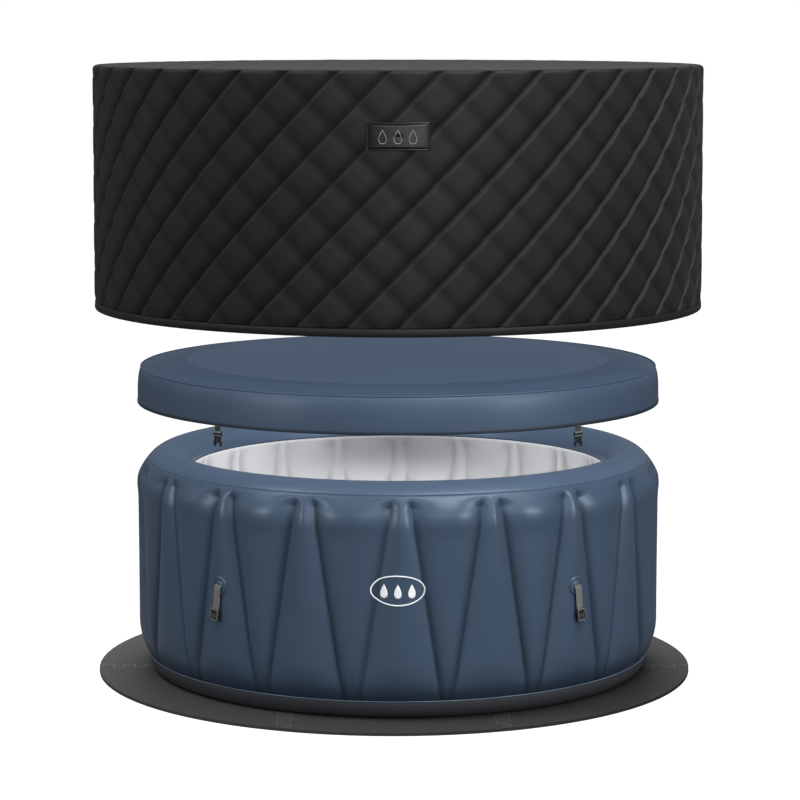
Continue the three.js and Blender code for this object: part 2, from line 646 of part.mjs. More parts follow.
// The filter: a flange on the inner wall, a hollow paper cartridge, and a slotted cover that twists to lock.
function filter() {
  const flange = rod(FILTER_R, PUMP_X, PUMP_Z, [LINER_R - 22, LINER_R - 16], 24);
  const flangeBore = rod(18, PUMP_X, PUMP_Z, [LINER_R - 40, LINER_R]);
  add("filter_base", cut(flange, flangeBore), GREY_PLASTIC);

  const pleats = Array.from({ length: 36 }, (_, i) => {
    const radius = CARTRIDGE_R[1 - (i % 2)];
    return [radius * Math.cos(rad(10 * i)), radius * Math.sin(rad(10 * i))];
  });
  const core = new THREE.Path().absarc(0, 0, 20, 0, 2 * Math.PI, true);
  const paper = extruded(pleats, CARTRIDGE_H, [core]).rotateX(Math.PI / 2);
  paper.translate(PUMP_X, LINER_R - 23, PUMP_Z);
  add("filter_cartridge", paper, FILTER_PAPER);

  const shell = rod(FILTER_COVER_R, PUMP_X, PUMP_Z, [LINER_R - 92, LINER_R - 22.5], 24);
  const space = rod(FILTER_COVER_R - 4, PUMP_X, PUMP_Z, [LINER_R - 87, LINER_R - 15], 24);
  const slots = Array.from({ length: 8 }, (_, i) => {
    const slot = box([30, 64], [LINER_R - 76, LINER_R - 36], [-4, 4]);
    return slot.rotateY(rad(45 * i + 22.5)).translate(PUMP_X, 0, PUMP_Z);
  });
  const wing = box([PUMP_X - 30, PUMP_X + 30], [LINER_R - 102, LINER_R - 91], [PUMP_Z - 4, PUMP_Z + 4]);
  add("filter_cover", joined(cut(shell, space, ...slots), wing), GREY_PLASTIC);
}

mat();
tub();
wallBaffles();
airJetRing();
badge();
for (const [name, [degrees, z]] of Object.entries(VALVES)) wallValve(name, degrees, z);
straps();
lid();
jacket();
heaterHousing();
serviceCover();
controlPanel();
pump();
heaterTube();
airBlower();
filter();

export default root;
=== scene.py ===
"""An inflatable hot tub as an exploded stack: foam mat, tub, padded lid and quilted jacket, in metres."""
import json
import math

import bpy
import numpy as np
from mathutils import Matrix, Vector

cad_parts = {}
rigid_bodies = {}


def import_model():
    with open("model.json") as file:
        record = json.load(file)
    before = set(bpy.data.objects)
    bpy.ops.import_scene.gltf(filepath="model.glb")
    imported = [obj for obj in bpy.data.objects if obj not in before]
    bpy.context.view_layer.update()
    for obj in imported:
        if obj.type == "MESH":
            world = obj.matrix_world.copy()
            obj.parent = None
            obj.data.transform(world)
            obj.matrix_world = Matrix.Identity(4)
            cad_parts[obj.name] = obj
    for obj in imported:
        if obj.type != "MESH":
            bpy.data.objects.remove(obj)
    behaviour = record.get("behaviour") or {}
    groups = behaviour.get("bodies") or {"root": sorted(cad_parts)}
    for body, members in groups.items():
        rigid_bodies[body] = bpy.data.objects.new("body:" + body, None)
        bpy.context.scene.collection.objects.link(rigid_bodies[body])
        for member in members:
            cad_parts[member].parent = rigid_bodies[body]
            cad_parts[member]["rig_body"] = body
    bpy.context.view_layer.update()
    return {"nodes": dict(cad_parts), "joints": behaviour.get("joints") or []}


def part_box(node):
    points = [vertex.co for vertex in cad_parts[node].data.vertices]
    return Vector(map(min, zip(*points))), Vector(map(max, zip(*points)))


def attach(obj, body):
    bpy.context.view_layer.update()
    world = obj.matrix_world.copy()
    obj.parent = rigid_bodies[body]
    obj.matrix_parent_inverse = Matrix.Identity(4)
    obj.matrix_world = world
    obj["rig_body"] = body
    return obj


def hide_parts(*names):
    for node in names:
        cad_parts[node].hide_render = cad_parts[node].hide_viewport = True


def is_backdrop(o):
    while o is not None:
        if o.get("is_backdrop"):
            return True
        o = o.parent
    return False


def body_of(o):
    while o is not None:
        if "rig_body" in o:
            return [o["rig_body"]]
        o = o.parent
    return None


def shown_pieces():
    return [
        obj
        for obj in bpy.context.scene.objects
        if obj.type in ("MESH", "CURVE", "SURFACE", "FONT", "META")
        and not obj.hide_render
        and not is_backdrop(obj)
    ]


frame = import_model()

NODES = frame["nodes"]
JOINTS = {joint["name"]: joint for joint in frame["joints"]}


def low(node):
    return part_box(node)[0]


def high(node):
    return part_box(node)[1]


# ---- driving dimensions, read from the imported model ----
MM = 0.001
BASE_Z = low("tub_outer_wall").z
TUB_R = high("tub_outer_wall").x
BAND_Z = high("tub_outer_wall").z  # the weld between the wall and the rim
CREST_Z = high("tub_top_rim").z
LINER_TOP_Z = low("tub_top_rim").z
WALL_T = 3 * MM
LINER_R = high("tub_inner_wall").x - WALL_T
CREST_R = TUB_R - 111 * MM
SHOULDER_Z = CREST_Z - 150 * MM
SEAM_R = TUB_R - 36 * MM  # the weld at the foot of the wall
SEAM_Z = BASE_Z + 62 * MM
FOOT_R = TUB_R - 75 * MM
UPRIGHT_Z = BASE_Z + 190 * MM
LID_HEM_Z = low("lid_cover").z
LID_HEM_R = high("lid_cover").x
LID_TOP_Z = high("lid_cover").z
LID_SEAM_R = LID_HEM_R - 17 * MM
LID_SEAM_Z = LID_TOP_Z - 25 * MM
JACKET_R = high("jacket_side").x
JACKET_LOW_Z = low("jacket_side").z
JACKET_TOP_Z = high("jacket_top").z
MAT_X = (low("mat_tile_front_left").x + high("mat_tile_front_right").x) / 2
MAT_R = high("mat_tile_front_right").x - MAT_X

WEDGES = 18
STEP = 2 * math.pi / WEDGES
PLACES = ("front_left", "front_right", "back_right", "back_left")
BACK = math.pi


# ---- mesh helpers ----
def smooth(x, start, end):
    """0 before start, 1 after end, and a smooth step between them."""
    t = np.clip((x - start) / (end - start), 0, 1)
    return t * t * (3 - 2 * t)


def circle(steps):
    """Angles evenly spaced once round."""
    return np.linspace(0, 2 * math.pi, steps, endpoint=False)


def polar(radius, azimuth, z):
    """Points from radius, azimuth and height; azimuth 0 is the front, towards -Y, and grows towards +X."""
    radius, azimuth, z = np.broadcast_arrays(radius, azimuth, z)
    return np.stack([radius * np.sin(azimuth), -radius * np.cos(azimuth), z], axis=-1)


def mesh_piece(name, points, faces, body, material, uv=None):
    mesh = bpy.data.meshes.new(name)
    mesh.from_pydata(points.reshape(-1, 3).tolist(), [], faces)
    if uv is not None:
        corners = np.empty(len(mesh.loops), np.int32)
        mesh.loops.foreach_get("vertex_index", corners)
        layer = mesh.uv_layers.new(name="UVMap")
        layer.data.foreach_set("uv", uv.reshape(-1, 2)[corners].astype(np.float32).ravel())
    mesh.polygons.foreach_set("use_smooth", np.ones(len(mesh.polygons), bool))
    mesh.validate()
    piece = bpy.data.objects.new(name, mesh)
    bpy.context.scene.collection.objects.link(piece)
    mesh.materials.append(material)
    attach(piece, body)
    return piece


def keep_painted_shade(piece, value):
    """Keeps a painted shade from 0 to 1 at each point, mostly where it lies deep between the pillows, for
    the material to darken its colour by.
    """
    field = piece.data.attributes.new("painted_shade", "FLOAT", "POINT")
    field.data.foreach_set("value", np.clip(value, 0, 1).astype(np.float32).ravel())


def grid_faces(rows, columns, around=False, closed=False, keep=None):
    """Quads of a grid of rows by columns; around joins the last column to the first, closed the last row."""
    i = np.arange(rows if closed else rows - 1)[:, None]
    j = np.arange(columns if around else columns - 1)[None, :]
    next_i = (i + 1) % rows
    next_j = (j + 1) % columns
    corners = [i * columns + j, i * columns + next_j, next_i * columns + next_j, next_i * columns + j]
    quads = np.stack(np.broadcast_arrays(*corners), axis=-1).reshape(-1, 4)
    if keep is not None:
        quads = quads[keep(quads)]
    return quads.tolist()


def middle_cap(row, columns):
    """The small face that closes the middle of a disc, facing like the quads that start at its row."""
    return [row * columns + column for column in range(columns)][::-1]


def thicken(piece, thickness, offset=-1.0):
    shell = piece.modifiers.new("thickness", "SOLIDIFY")
    shell.thickness = thickness
    shell.offset = offset
    shell.use_even_offset = False
    return piece


def lathe(name, profile, body, material, steps=180, closed=True):
    """A ring about +Z from a profile of [radius, height] points, listed anticlockwise when closed."""
    azimuth = circle(steps)
    line = np.array(profile)
    points = polar(line[:, 0, None], azimuth[None, :], line[:, 1, None])
    faces = grid_faces(len(line), steps, around=True, closed=closed)
    return mesh_piece(name, points, faces, body, material)


def cord_profile(radius, z, thickness, sides=10):
    turn = circle(sides)
    return np.stack([radius + thickness * np.cos(turn), z + thickness * np.sin(turn)], axis=-1)


# ---- materials ----
def linear(red, green, blue):
    def channel(value):
        value /= 255
        return value / 12.92 if value <= 0.04045 else ((value + 0.055) / 1.055) ** 2.4

    return (channel(red), channel(green), channel(blue), 1.0)


class Shader:
    """A Principled material under construction: its tree, its shader and the texture coordinates."""

    def __init__(self, name, colour, roughness, **numbers):
        self.material = bpy.data.materials.new(name)
        self.material.use_nodes = True
        self.tree = self.material.node_tree
        self.bsdf = self.tree.nodes["Principled BSDF"]
        self.bsdf.inputs["Base Color"].default_value = colour
        self.bsdf.inputs["Roughness"].default_value = roughness
        self.colour = colour
        for socket, value in numbers.items():
            self.bsdf.inputs[socket.replace("_", " ")].default_value = value
        self.place = self.node("ShaderNodeTexCoord").outputs["Object"]
        self.height = None

    def node(self, kind, **settings):
        made = self.tree.nodes.new(kind)
        for key, value in settings.items():
            setattr(made, key, value)
        return made

    def link(self, source, target):
        self.tree.links.new(source, target)

    def math(self, operation, a, b=None):
        made = self.node("ShaderNodeMath", operation=operation)
        for socket, value in zip(made.inputs, (a, b)):
            if hasattr(value, "links"):
                self.link(value, socket)
            elif value is not None:
                socket.default_value = value
        return made.outputs[0]

    def noise(self, scale, detail=3.0, roughness=0.5, stretch=None):
        made = self.node("ShaderNodeTexNoise")
        made.inputs["Scale"].default_value = scale
        made.inputs["Detail"].default_value = detail
        made.inputs["Roughness"].default_value = roughness
        self.link(self.scaled(stretch), made.inputs["Vector"])
        return made.outputs["Fac"]

    def scaled(self, stretch):
        if stretch is None:
            return self.place
        made = self.node("ShaderNodeMapping")
        made.inputs["Scale"].default_value = stretch
        self.link(self.place, made.inputs["Vector"])
        return made.outputs["Vector"]

    def cells(self, scale):
        made = self.node("ShaderNodeTexVoronoi", feature="F1")
        made.inputs["Scale"].default_value = scale
        self.link(self.place, made.inputs["Vector"])
        return made.outputs["Distance"]

    def threads(self, along, pitch):
        """A wave across one axis of the UV map, which is in metres, for a woven thread."""
        uv = self.node("ShaderNodeUVMap", uv_map="UVMap").outputs["UV"]
        split = self.node("ShaderNodeSeparateXYZ")
        self.link(uv, split.inputs["Vector"])
        turns = self.math("MULTIPLY", split.outputs[along], 2 * math.pi / pitch)
        return self.math("SINE", turns)

    def ranged(self, value, low_end, high_end):
        made = self.node("ShaderNodeMapRange")
        self.link(value, made.inputs["Value"])
        made.inputs["To Min"].default_value = low_end
        made.inputs["To Max"].default_value = high_end
        return made.outputs["Result"]

    def attribute(self, name):
        """A number from 0 to 1 that the mesh keeps at each of its points."""
        return self.node("ShaderNodeAttribute", attribute_name=name).outputs["Fac"]

    def within(self, centre_x, radius):
        """1 inside an upright cylinder and 0 outside it."""
        split = self.node("ShaderNodeSeparateXYZ")
        self.link(self.place, split.inputs["Vector"])
        x = self.math("SUBTRACT", split.outputs["X"], centre_x)
        across = self.math("ADD", self.math("MULTIPLY", x, x), self.math("POWER", split.outputs["Y"], 2.0))
        return self.math("LESS_THAN", across, radius * radius)

    def blend_colour(self, value, other):
        """Blends whatever colour the surface has towards another one, by a value from 0 to 1."""
        mix = self.node("ShaderNodeMix", data_type="RGBA")
        ends = [s for s in mix.inputs if s.type == "RGBA"]
        base = self.bsdf.inputs["Base Color"]
        if base.is_linked:
            self.link(base.links[0].from_socket, ends[0])
        else:
            ends[0].default_value = self.colour
        ends[1].default_value = other
        self.link(value, mix.inputs["Factor"])
        self.link([s for s in mix.outputs if s.type == "RGBA"][0], base)

    def mottle(self, value, share):
        """Lets a pattern darken and lighten the base colour by a share of it."""
        mix = self.node("ShaderNodeMix", data_type="RGBA")
        darker = tuple(channel * (1 - share) for channel in self.colour[:3]) + (1.0,)
        lighter = tuple(min(1.0, channel * (1 + share)) for channel in self.colour[:3]) + (1.0,)
        self.link(value, mix.inputs["Factor"])
        for socket, end in zip([s for s in mix.inputs if s.type == "RGBA"], (darker, lighter)):
            socket.default_value = end
        result = [s for s in mix.outputs if s.type == "RGBA"][0]
        self.link(result, self.bsdf.inputs["Base Color"])

    def rough(self, value, low_end, high_end):
        self.link(self.ranged(value, low_end, high_end), self.bsdf.inputs["Roughness"])

    def bump(self, value, strength, distance):
        made = self.node("ShaderNodeBump")
        made.inputs["Strength"].default_value = strength
        made.inputs["Distance"].default_value = distance
        self.link(value, made.inputs["Height"])
        if self.height is not None:
            self.link(self.height, made.inputs["Normal"])
        self.height = made.outputs["Normal"]
        self.link(self.height, self.bsdf.inputs["Normal"])


def laminate(name, colour, roughness, grain=0.12):
    """Reinforced sheet with a satin skin: a fine pebbled grain over faint handling creases."""
    look = Shader(name, colour, roughness, Specular_IOR_Level=0.5, Specular_Tint=(0.72, 0.86, 1.0, 1.0))
    clouds = look.noise(3.0, 4.0)
    look.mottle(clouds, 0.05)
    # painted shade: the colour darkens by the shade value the mesh keeps at each point
    look.blend_colour(look.attribute("painted_shade"), tuple(channel * 0.35 for channel in colour[:3]) + (1.0,))
    look.rough(look.noise(9.0, 4.0), roughness - 0.05, roughness + 0.06)
    look.bump(look.noise(2.5, 3.0, 0.55), 0.35, 4 * MM)
    look.bump(look.cells(420.0), grain, 0.25 * MM)
    return look.material


def liner_sheet():
    look = Shader("liner_satin", linear(215, 215, 217), 0.36, Specular_IOR_Level=0.5)
    look.mottle(look.noise(4.0, 3.0), 0.035)
    # painted shade: the liner darkens by the shade value the mesh keeps at each point
    look.blend_colour(look.attribute("painted_shade"), linear(128, 129, 132))
    look.bump(look.noise(5.0, 3.0), 0.2, 2 * MM)
    look.bump(look.cells(500.0), 0.08, 0.2 * MM)
    return look.material


def foam_sheet(name, seams=False):
    """Closed-cell foam; seams paints the paler edges along the tile joints but not the mat's rim."""
    look = Shader(name, linear(80, 80, 81), 0.85, Specular_IOR_Level=0.25)
    grain = look.noise(650.0, 2.0)
    look.mottle(look.noise(40.0, 5.0), 0.06)
    look.rough(grain, 0.78, 0.95)
    look.bump(look.cells(260.0), 0.35, 0.6 * MM)
    look.bump(grain, 0.25, 0.4 * MM)
    if seams:
        look.blend_colour(look.within(MAT_X, MAT_R - 8 * MM), linear(132, 132, 132))
    return look.material


def quilt_cloth(name, colour):
    """A dull coated cloth: fine cross threads, a soft sheen and slight creases drawn in by the quilting."""
    look = Shader(name, colour, 0.62, Sheen_Weight=0.02, Sheen_Roughness=0.5, Specular_IOR_Level=0.22)
    look.mottle(look.noise(7.0, 4.0), 0.07)
    # painted shade: the cloth darkens in the quilting grooves by the shade value the mesh keeps
    look.blend_colour(look.attribute("painted_shade"), tuple(channel * 0.3 for channel in colour[:3]) + (1.0,))
    look.rough(look.noise(18.0, 4.0), 0.52, 0.66)
    look.bump(look.noise(16.0, 4.0, 0.6), 0.3, 1.6 * MM)
    look.bump(look.noise(900.0, 1.0, 0.5, (1.0, 1.0, 0.25)), 0.25, 0.3 * MM)
    look.bump(look.noise(900.0, 1.0, 0.5, (0.25, 0.25, 1.0)), 0.25, 0.3 * MM)
    return look.material


def webbing(name, colour):
    """Woven strap: ribs across it, fine threads along it, from the UV map in metres."""
    look = Shader(name, colour, 0.75, Sheen_Weight=0.2, Sheen_Roughness=0.5, Specular_IOR_Level=0.3)
    ribs = look.threads("Y", 2.2 * MM)
    lines = look.threads("X", 1.6 * MM)
    weave = look.math("MULTIPLY", ribs, lines)
    look.mottle(look.ranged(weave, 0.0, 1.0), 0.22)
    look.bump(weave, 0.8, 0.5 * MM)
    look.bump(look.noise(700.0, 2.0), 0.2, 0.2 * MM)
    return look.material


def moulding(name, colour, roughness, grain=0.25):
    """Moulded plastic with a fine spark-eroded texture and slightly uneven gloss."""
    look = Shader(name, colour, roughness, Specular_IOR_Level=0.5)
    look.mottle(look.noise(25.0, 3.0), 0.05)
    look.rough(look.noise(60.0, 4.0), max(roughness - 0.06, 0.05), roughness + 0.08)
    look.bump(look.noise(900.0, 2.0), grain, 0.15 * MM)
    return look.material


def printed(name, colour, roughness):
    look = Shader(name, colour, roughness, Specular_IOR_Level=0.5)
    look.mottle(look.noise(60.0, 3.0), 0.03)
    look.bump(look.noise(500.0, 2.0), 0.12, 0.1 * MM)
    return look.material


def brushed_metal():
    look = Shader("heater_brushed", linear(176, 179, 182), 0.28, Metallic=1.0)
    lines = look.noise(60.0, 3.0, 0.6, (0.6, 14.0, 14.0))
    look.rough(lines, 0.2, 0.42)
    look.mottle(lines, 0.08)
    look.bump(lines, 0.15, 0.1 * MM)
    return look.material


def pleated_paper():
    look = Shader("filter_fibre", linear(230, 231, 228), 0.9, Sheen_Weight=0.1)
    look.mottle(look.noise(180.0, 5.0), 0.06)
    look.bump(look.noise(700.0, 4.0), 0.5, 0.4 * MM)
    return look.material


def coated_board():
    look = Shader("board_mask", linear(38, 98, 62), 0.35, Specular_IOR_Level=0.5)
    look.mottle(look.cells(160.0), 0.25)
    look.bump(look.cells(160.0), 0.4, 0.2 * MM)
    return look.material


NAVY = laminate("tub_navy", linear(58, 73, 92), 0.36)
# a lighter copy of the tub navy: painted light on the rim
NAVY_RIM_LIT = laminate("rim_navy_painted_light", linear(66, 82, 102), 0.38)
NAVY_LID = laminate("lid_navy", linear(58, 72, 92), 0.45)
HEM_NAVY = laminate("hem_navy", linear(26, 33, 46), 0.55)
# the tub's underside sheet, its dark grey painting the contact shade where the tub meets the mat
BASE_SHEET_SHADE = laminate("underside_painted_shade", linear(50, 50, 52), 0.7)
WELD = laminate("weld_navy", linear(84, 98, 116), 0.4)
LINER = liner_sheet()
FOAM = foam_sheet("foam_grain")
FOAM_EDGE = foam_sheet("foam_edge", seams=True)
QUILT = quilt_cloth("quilt_charcoal", linear(37, 37, 38))
BINDING = quilt_cloth("binding_charcoal", linear(27, 27, 28))
GREY_WEB = webbing("webbing_grey", linear(116, 114, 112))
BLACK_WEB = webbing("webbing_black", linear(34, 35, 38))
BUCKLE = moulding("buckle_gloss", linear(34, 35, 38), 0.22, 0.12)
# paler grey for the buckles' raised bars: a painted highlight
BUCKLE_GLINT = moulding("buckle_painted_glint", linear(104, 104, 103), 0.16, 0.08)
WHITE_PRINT = printed("print_white", linear(238, 240, 243), 0.4)
PALE_PRINT = printed("print_pale", linear(150, 150, 152), 0.45)
LABEL = printed("label_gloss", linear(17, 17, 18), 0.2)
DARK_PLASTIC = moulding("plastic_dark", linear(46, 51, 58), 0.42)
GREY_PLASTIC = moulding("plastic_grey", linear(146, 149, 154), 0.4)
METAL = brushed_metal()
BOARD = coated_board()
PAPER = pleated_paper()


# ---- the outer wall ----
def wall_line(z):
    """The wall's radius at a height, before the wedges are pressed into it."""
    foot = np.clip((UPRIGHT_Z - z) / (UPRIGHT_Z - SEAM_Z), 0, 1)
    rise = np.clip((z - SHOULDER_Z) / (CREST_Z - SHOULDER_Z), 0, 1)
    upright = CREST_R + (TUB_R - CREST_R) * np.sqrt(1 - rise * rise)
    return upright - (TUB_R - SEAM_R) * foot * foot


CREASE_TOP = math.radians(1.75)
CREASE_FOOT = math.radians(8.5)
CREASE_DEPTH = 21 * MM
FRONT_SHIFT = math.radians(0.6)  # the front wedge stands a little to the right


def crease_half(z):
    """Half the angle between the two creases of a wedge, which opens towards the foot."""
    share = np.clip((BAND_Z - z) / (BAND_Z - SEAM_Z), 0, 1)
    return CREASE_TOP + (CREASE_FOOT - CREASE_TOP) * share


def wedge_shift(azimuth):
    return FRONT_SHIFT * (np.abs(azimuth) < STEP / 2)


def crease_shade(azimuth, z):
    """0 to 1: painted shade that gathers in the fold, mostly on the panel's side of it, and painted shade
    low down by the foot weld.
    """
    azimuth = (azimuth + math.pi) % (2 * math.pi) - math.pi
    side = np.abs(azimuth - np.round(azimuth / STEP) * STEP - wedge_shift(azimuth))
    off = (side - crease_half(z)) * TUB_R
    near = np.exp(-((off / np.where(off > 0, 17 * MM, 5 * MM)) ** 2))
    top = 1 - smooth(z, BAND_Z - 50 * MM, BAND_Z - 15 * MM)
    foot = smooth(z, SEAM_Z, SEAM_Z + 0.09)
    low = 0.68 * (1 - smooth(z, SEAM_Z, SEAM_Z + 0.07))
    return (0.75 * near * top * (0.35 + 0.65 * foot)) * (1 - flat_stretch(azimuth, z)) + low


def flat_stretch(azimuth, z):
    """1 where the wall is held flat: under the service cover and round the two valves."""
    cover_lo, cover_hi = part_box("service_cover")
    reach = abs(cover_lo.x) / TUB_R
    from_back = np.abs(np.abs(azimuth) - BACK)
    beside = 1 - smooth(from_back, reach + 0.005, reach + 0.05)
    level = smooth(z, cover_lo.z - 0.05, cover_lo.z) * (1 - smooth(z, cover_hi.z, cover_hi.z + 0.05))
    flat = beside * level
    for valve in ("inflation_valve", "drain_valve"):
        lo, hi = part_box(valve)
        middle = (lo + hi) / 2
        place = math.atan2(middle.x, -middle.y)
        turn = (azimuth - place + math.pi) % (2 * math.pi) - math.pi
        reach = np.hypot(turn * TUB_R, z - middle.z)
        flat = np.maximum(flat, 1 - smooth(reach, 0.034, 0.085))
    return flat


def wall_radius(azimuth, z):
    """Radius of the inflated wall: wedges and panels swell between creases that reach from rim to foot."""
    azimuth = (np.asarray(azimuth, float) + math.pi) % (2 * math.pi) - math.pi
    z = np.asarray(z, float)
    number = np.round(azimuth / STEP)
    from_wedge = azimuth - number * STEP - wedge_shift(azimuth)
    half = crease_half(z)
    side = np.abs(from_wedge)
    inside = side < half
    across = np.where(inside, side / half, (STEP / 2 - side) / (STEP / 2 - half))
    across = np.clip(across, 0, 1)
    swell = 1 - np.power(across, np.where(inside, 1.7, 2.3))
    top = 1 - smooth(z, BAND_Z - 46 * MM, BAND_Z - 4 * MM)
    foot = 0.25 + 0.75 * smooth(z, SEAM_Z, SEAM_Z + 0.12)
    narrow = np.where(inside, 1.0, 0.55 + 0.45 * smooth(STEP / 2 - half, math.radians(1.5), math.radians(4)))
    depth = CREASE_DEPTH * top * foot
    crest = np.where(inside, 1.0 - 0.12 * smooth(z, SHOULDER_Z, BAND_Z), 1.0) * narrow
    relief = depth * (1 - swell * crest)
    bulge = 6 * MM * np.where(inside, 0.0, 1 - across**2) * smooth(z, SHOULDER_Z - 40 * MM, BAND_Z - 60 * MM)
    bulge = bulge * (1 - smooth(z, BAND_Z - 70 * MM, BAND_Z))
    groove = 0.8 * MM * smooth(z, BAND_Z - 5 * MM, BAND_Z)
    return wall_line(z) - relief * (1 - flat_stretch(azimuth, z)) + bulge - groove


def wall_azimuths():
    """Columns that follow the creases: shares of the way to one, and from it to the panel's middle."""
    wedge = np.sin(np.linspace(0, math.pi / 2, 11))
    panel = 1 - np.cos(np.linspace(0, math.pi / 2, 15))
    return wedge, panel


def outer_wall():
    wedge, panel = wall_azimuths()
    heights = np.concatenate([
        np.linspace(SEAM_Z, SEAM_Z + 0.10, 14, endpoint=False),
        np.linspace(SEAM_Z + 0.10, SHOULDER_Z, 40, endpoint=False),
        np.linspace(SHOULDER_Z, BAND_Z, 40),
    ])
    half = crease_half(heights)[:, None]
    right = np.concatenate([wedge[None, :] * half, half + panel[None, 1:] * (STEP / 2 - half)], axis=1)
    left = -right[:, ::-1][:, 1:-1]
    sector = np.concatenate([left, right], axis=1)
    azimuth = np.concatenate([
        sector + number * STEP + (FRONT_SHIFT * (1 - np.abs(sector) / (STEP / 2)) if number == 0 else 0)
        for number in range(-WEDGES // 2, WEDGES // 2)
    ], axis=1)
    z = np.broadcast_to(heights[:, None], azimuth.shape)
    points = polar(wall_radius(azimuth, z), azimuth, z)
    cover_lo, cover_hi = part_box("service_cover")
    margin = 0.024
    flat_points = points.reshape(-1, 3)

    def outside_hatch(quads):
        middle = flat_points[quads].mean(axis=1)
        hidden = (middle[:, 1] > 0) & (np.abs(middle[:, 0]) < cover_hi.x - margin)
        hidden &= (middle[:, 2] > cover_lo.z + margin) & (middle[:, 2] < cover_hi.z - margin)
        return ~hidden

    faces = grid_faces(*azimuth.shape, around=True, keep=outside_hatch)
    skin = mesh_piece("wall_skin", points, faces, "tub", NAVY)
    # painted shade in the creases and low down by the foot
    keep_painted_shade(skin, crease_shade(azimuth, z))
    thicken(skin, 2 * MM)
    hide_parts("tub_outer_wall")


def foot_of_wall():
    turn = np.linspace(0, math.pi / 2, 9)
    foot_w = SEAM_R - FOOT_R
    foot_h = SEAM_Z - BASE_Z
    under = [[FOOT_R + foot_w * math.cos(t), SEAM_Z - foot_h * math.sin(t)] for t in turn]
    profile = [[LINER_R + 0.02, BASE_Z + 0.4 * MM]] + under[::-1]
    # the underside's dark grey paints the contact shade by the mat
    thicken(lathe("base_skin", profile, "tub", BASE_SHEET_SHADE, closed=False), 2 * MM)
    lip = [[-1, -2.2], [2.6, -1.6], [3.4, 0], [2.6, 1.6], [-1, 2.2]]
    profile = [[SEAM_R + r * MM, SEAM_Z + z * MM] for r, z in lip]
    lathe("foot_weld", profile, "tub", WELD, 360)


# ---- the rim, the liner and the floor ----
def top_rim():
    steps = 720
    azimuth = circle(steps)[None, :]
    start = math.asin((BAND_Z - SHOULDER_Z) / (CREST_Z - SHOULDER_Z))
    outer = np.linspace(start, math.pi / 2, 18)
    inner = np.linspace(math.pi / 2, math.pi, 22)[1:]
    radius = np.concatenate([
        CREST_R + (TUB_R - CREST_R) * np.cos(outer),
        CREST_R + (CREST_R - LINER_R) * np.cos(inner),
    ])[:, None]
    z = np.concatenate([
        SHOULDER_Z + (CREST_Z - SHOULDER_Z) * np.sin(outer),
        LINER_TOP_Z + (CREST_Z - LINER_TOP_Z) * np.sin(inner),
    ])[:, None]
    edge = np.exp(-np.arange(len(radius))[:, None] / 3.0)
    pucker = 0.7 * MM * edge * (np.sin(97 * azimuth) + 0.6 * np.sin(61 * azimuth + 1.0))
    lane = np.exp(-((np.arange(len(radius))[:, None]) / 1.2) ** 2)
    radius = radius - 0.8 * MM * lane + pucker * (1 - lane)
    points = polar(radius, azimuth, z + 0 * azimuth)
    faces = grid_faces(len(radius), steps, around=True)
    rim = thicken(mesh_piece("rim_skin", points, faces, "tub", NAVY_RIM_LIT), 2 * MM)
    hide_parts("tub_top_rim")


def inner_wall():
    """The liner: wide upright panels between twenty narrow wedges, all swollen towards the water."""
    wedges = 20
    each = 36
    pitch = 2 * math.pi / wedges
    azimuth = np.linspace(0, 2 * math.pi, wedges * each, endpoint=False)[None, :]
    z = np.linspace(LINER_TOP_Z, BASE_Z + 8 * MM, 70)[:, None]
    half = math.radians(1.3) + math.radians(5.0) * (LINER_TOP_Z - z) / (LINER_TOP_Z - BASE_Z)
    side = np.abs((azimuth + pitch / 2) % pitch - pitch / 2)
    inside = side < half
    across = np.where(inside, side / half, (pitch / 2 - side) / (pitch / 2 - half))
    swell = 1 - np.power(np.clip(across, 0, 1), np.where(inside, 1.8, 2.6))
    below_top = 1 - smooth(z, LINER_TOP_Z - 0.05, LINER_TOP_Z)
    depth = 17 * MM * below_top * (0.3 + 0.7 * smooth(z, BASE_Z, BASE_Z + 0.1))
    gather = 0.8 * MM * np.sin(azimuth * 120) * smooth(z, LINER_TOP_Z - 0.06, LINER_TOP_Z)
    radius = LINER_R + depth * (1 - swell) - 1 * MM + gather
    points = polar(radius, azimuth, z + 0 * azimuth)
    faces = grid_faces(len(z), azimuth.shape[1], around=True)
    skin = thicken(mesh_piece("liner_skin", points, faces, "tub", LINER), 2 * MM, 1.0)
    # painted shade: the upper band is darker at the front and the back than at the sides, and the pleats'
    # hollows are darker too
    band = smooth(z, LINER_TOP_Z - 0.22, LINER_TOP_Z - 0.05) * np.cos(azimuth) ** 4
    pleat = 0.6 * (1 - swell) * below_top
    keep_painted_shade(skin, np.maximum(band, pleat))
    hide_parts("tub_inner_wall")


def tub_floor():
    steps = 180
    azimuth = circle(steps)[None, :]
    radius = np.linspace(0.004, LINER_R - 2 * MM, 80)[:, None]
    top = high("tub_floor").z
    rise = 2.5 * MM * np.cos(radius * 2 * math.pi / 0.11) * smooth(radius, 0.05, 0.1)
    points = polar(radius, azimuth, top - 3 * MM + rise + 0 * azimuth)
    faces = grid_faces(len(radius), steps, around=True) + [middle_cap(0, steps)]
    sheet = thicken(mesh_piece("floor_sheet", points, faces, "tub", LINER), 3 * MM)
    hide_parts("tub_floor")


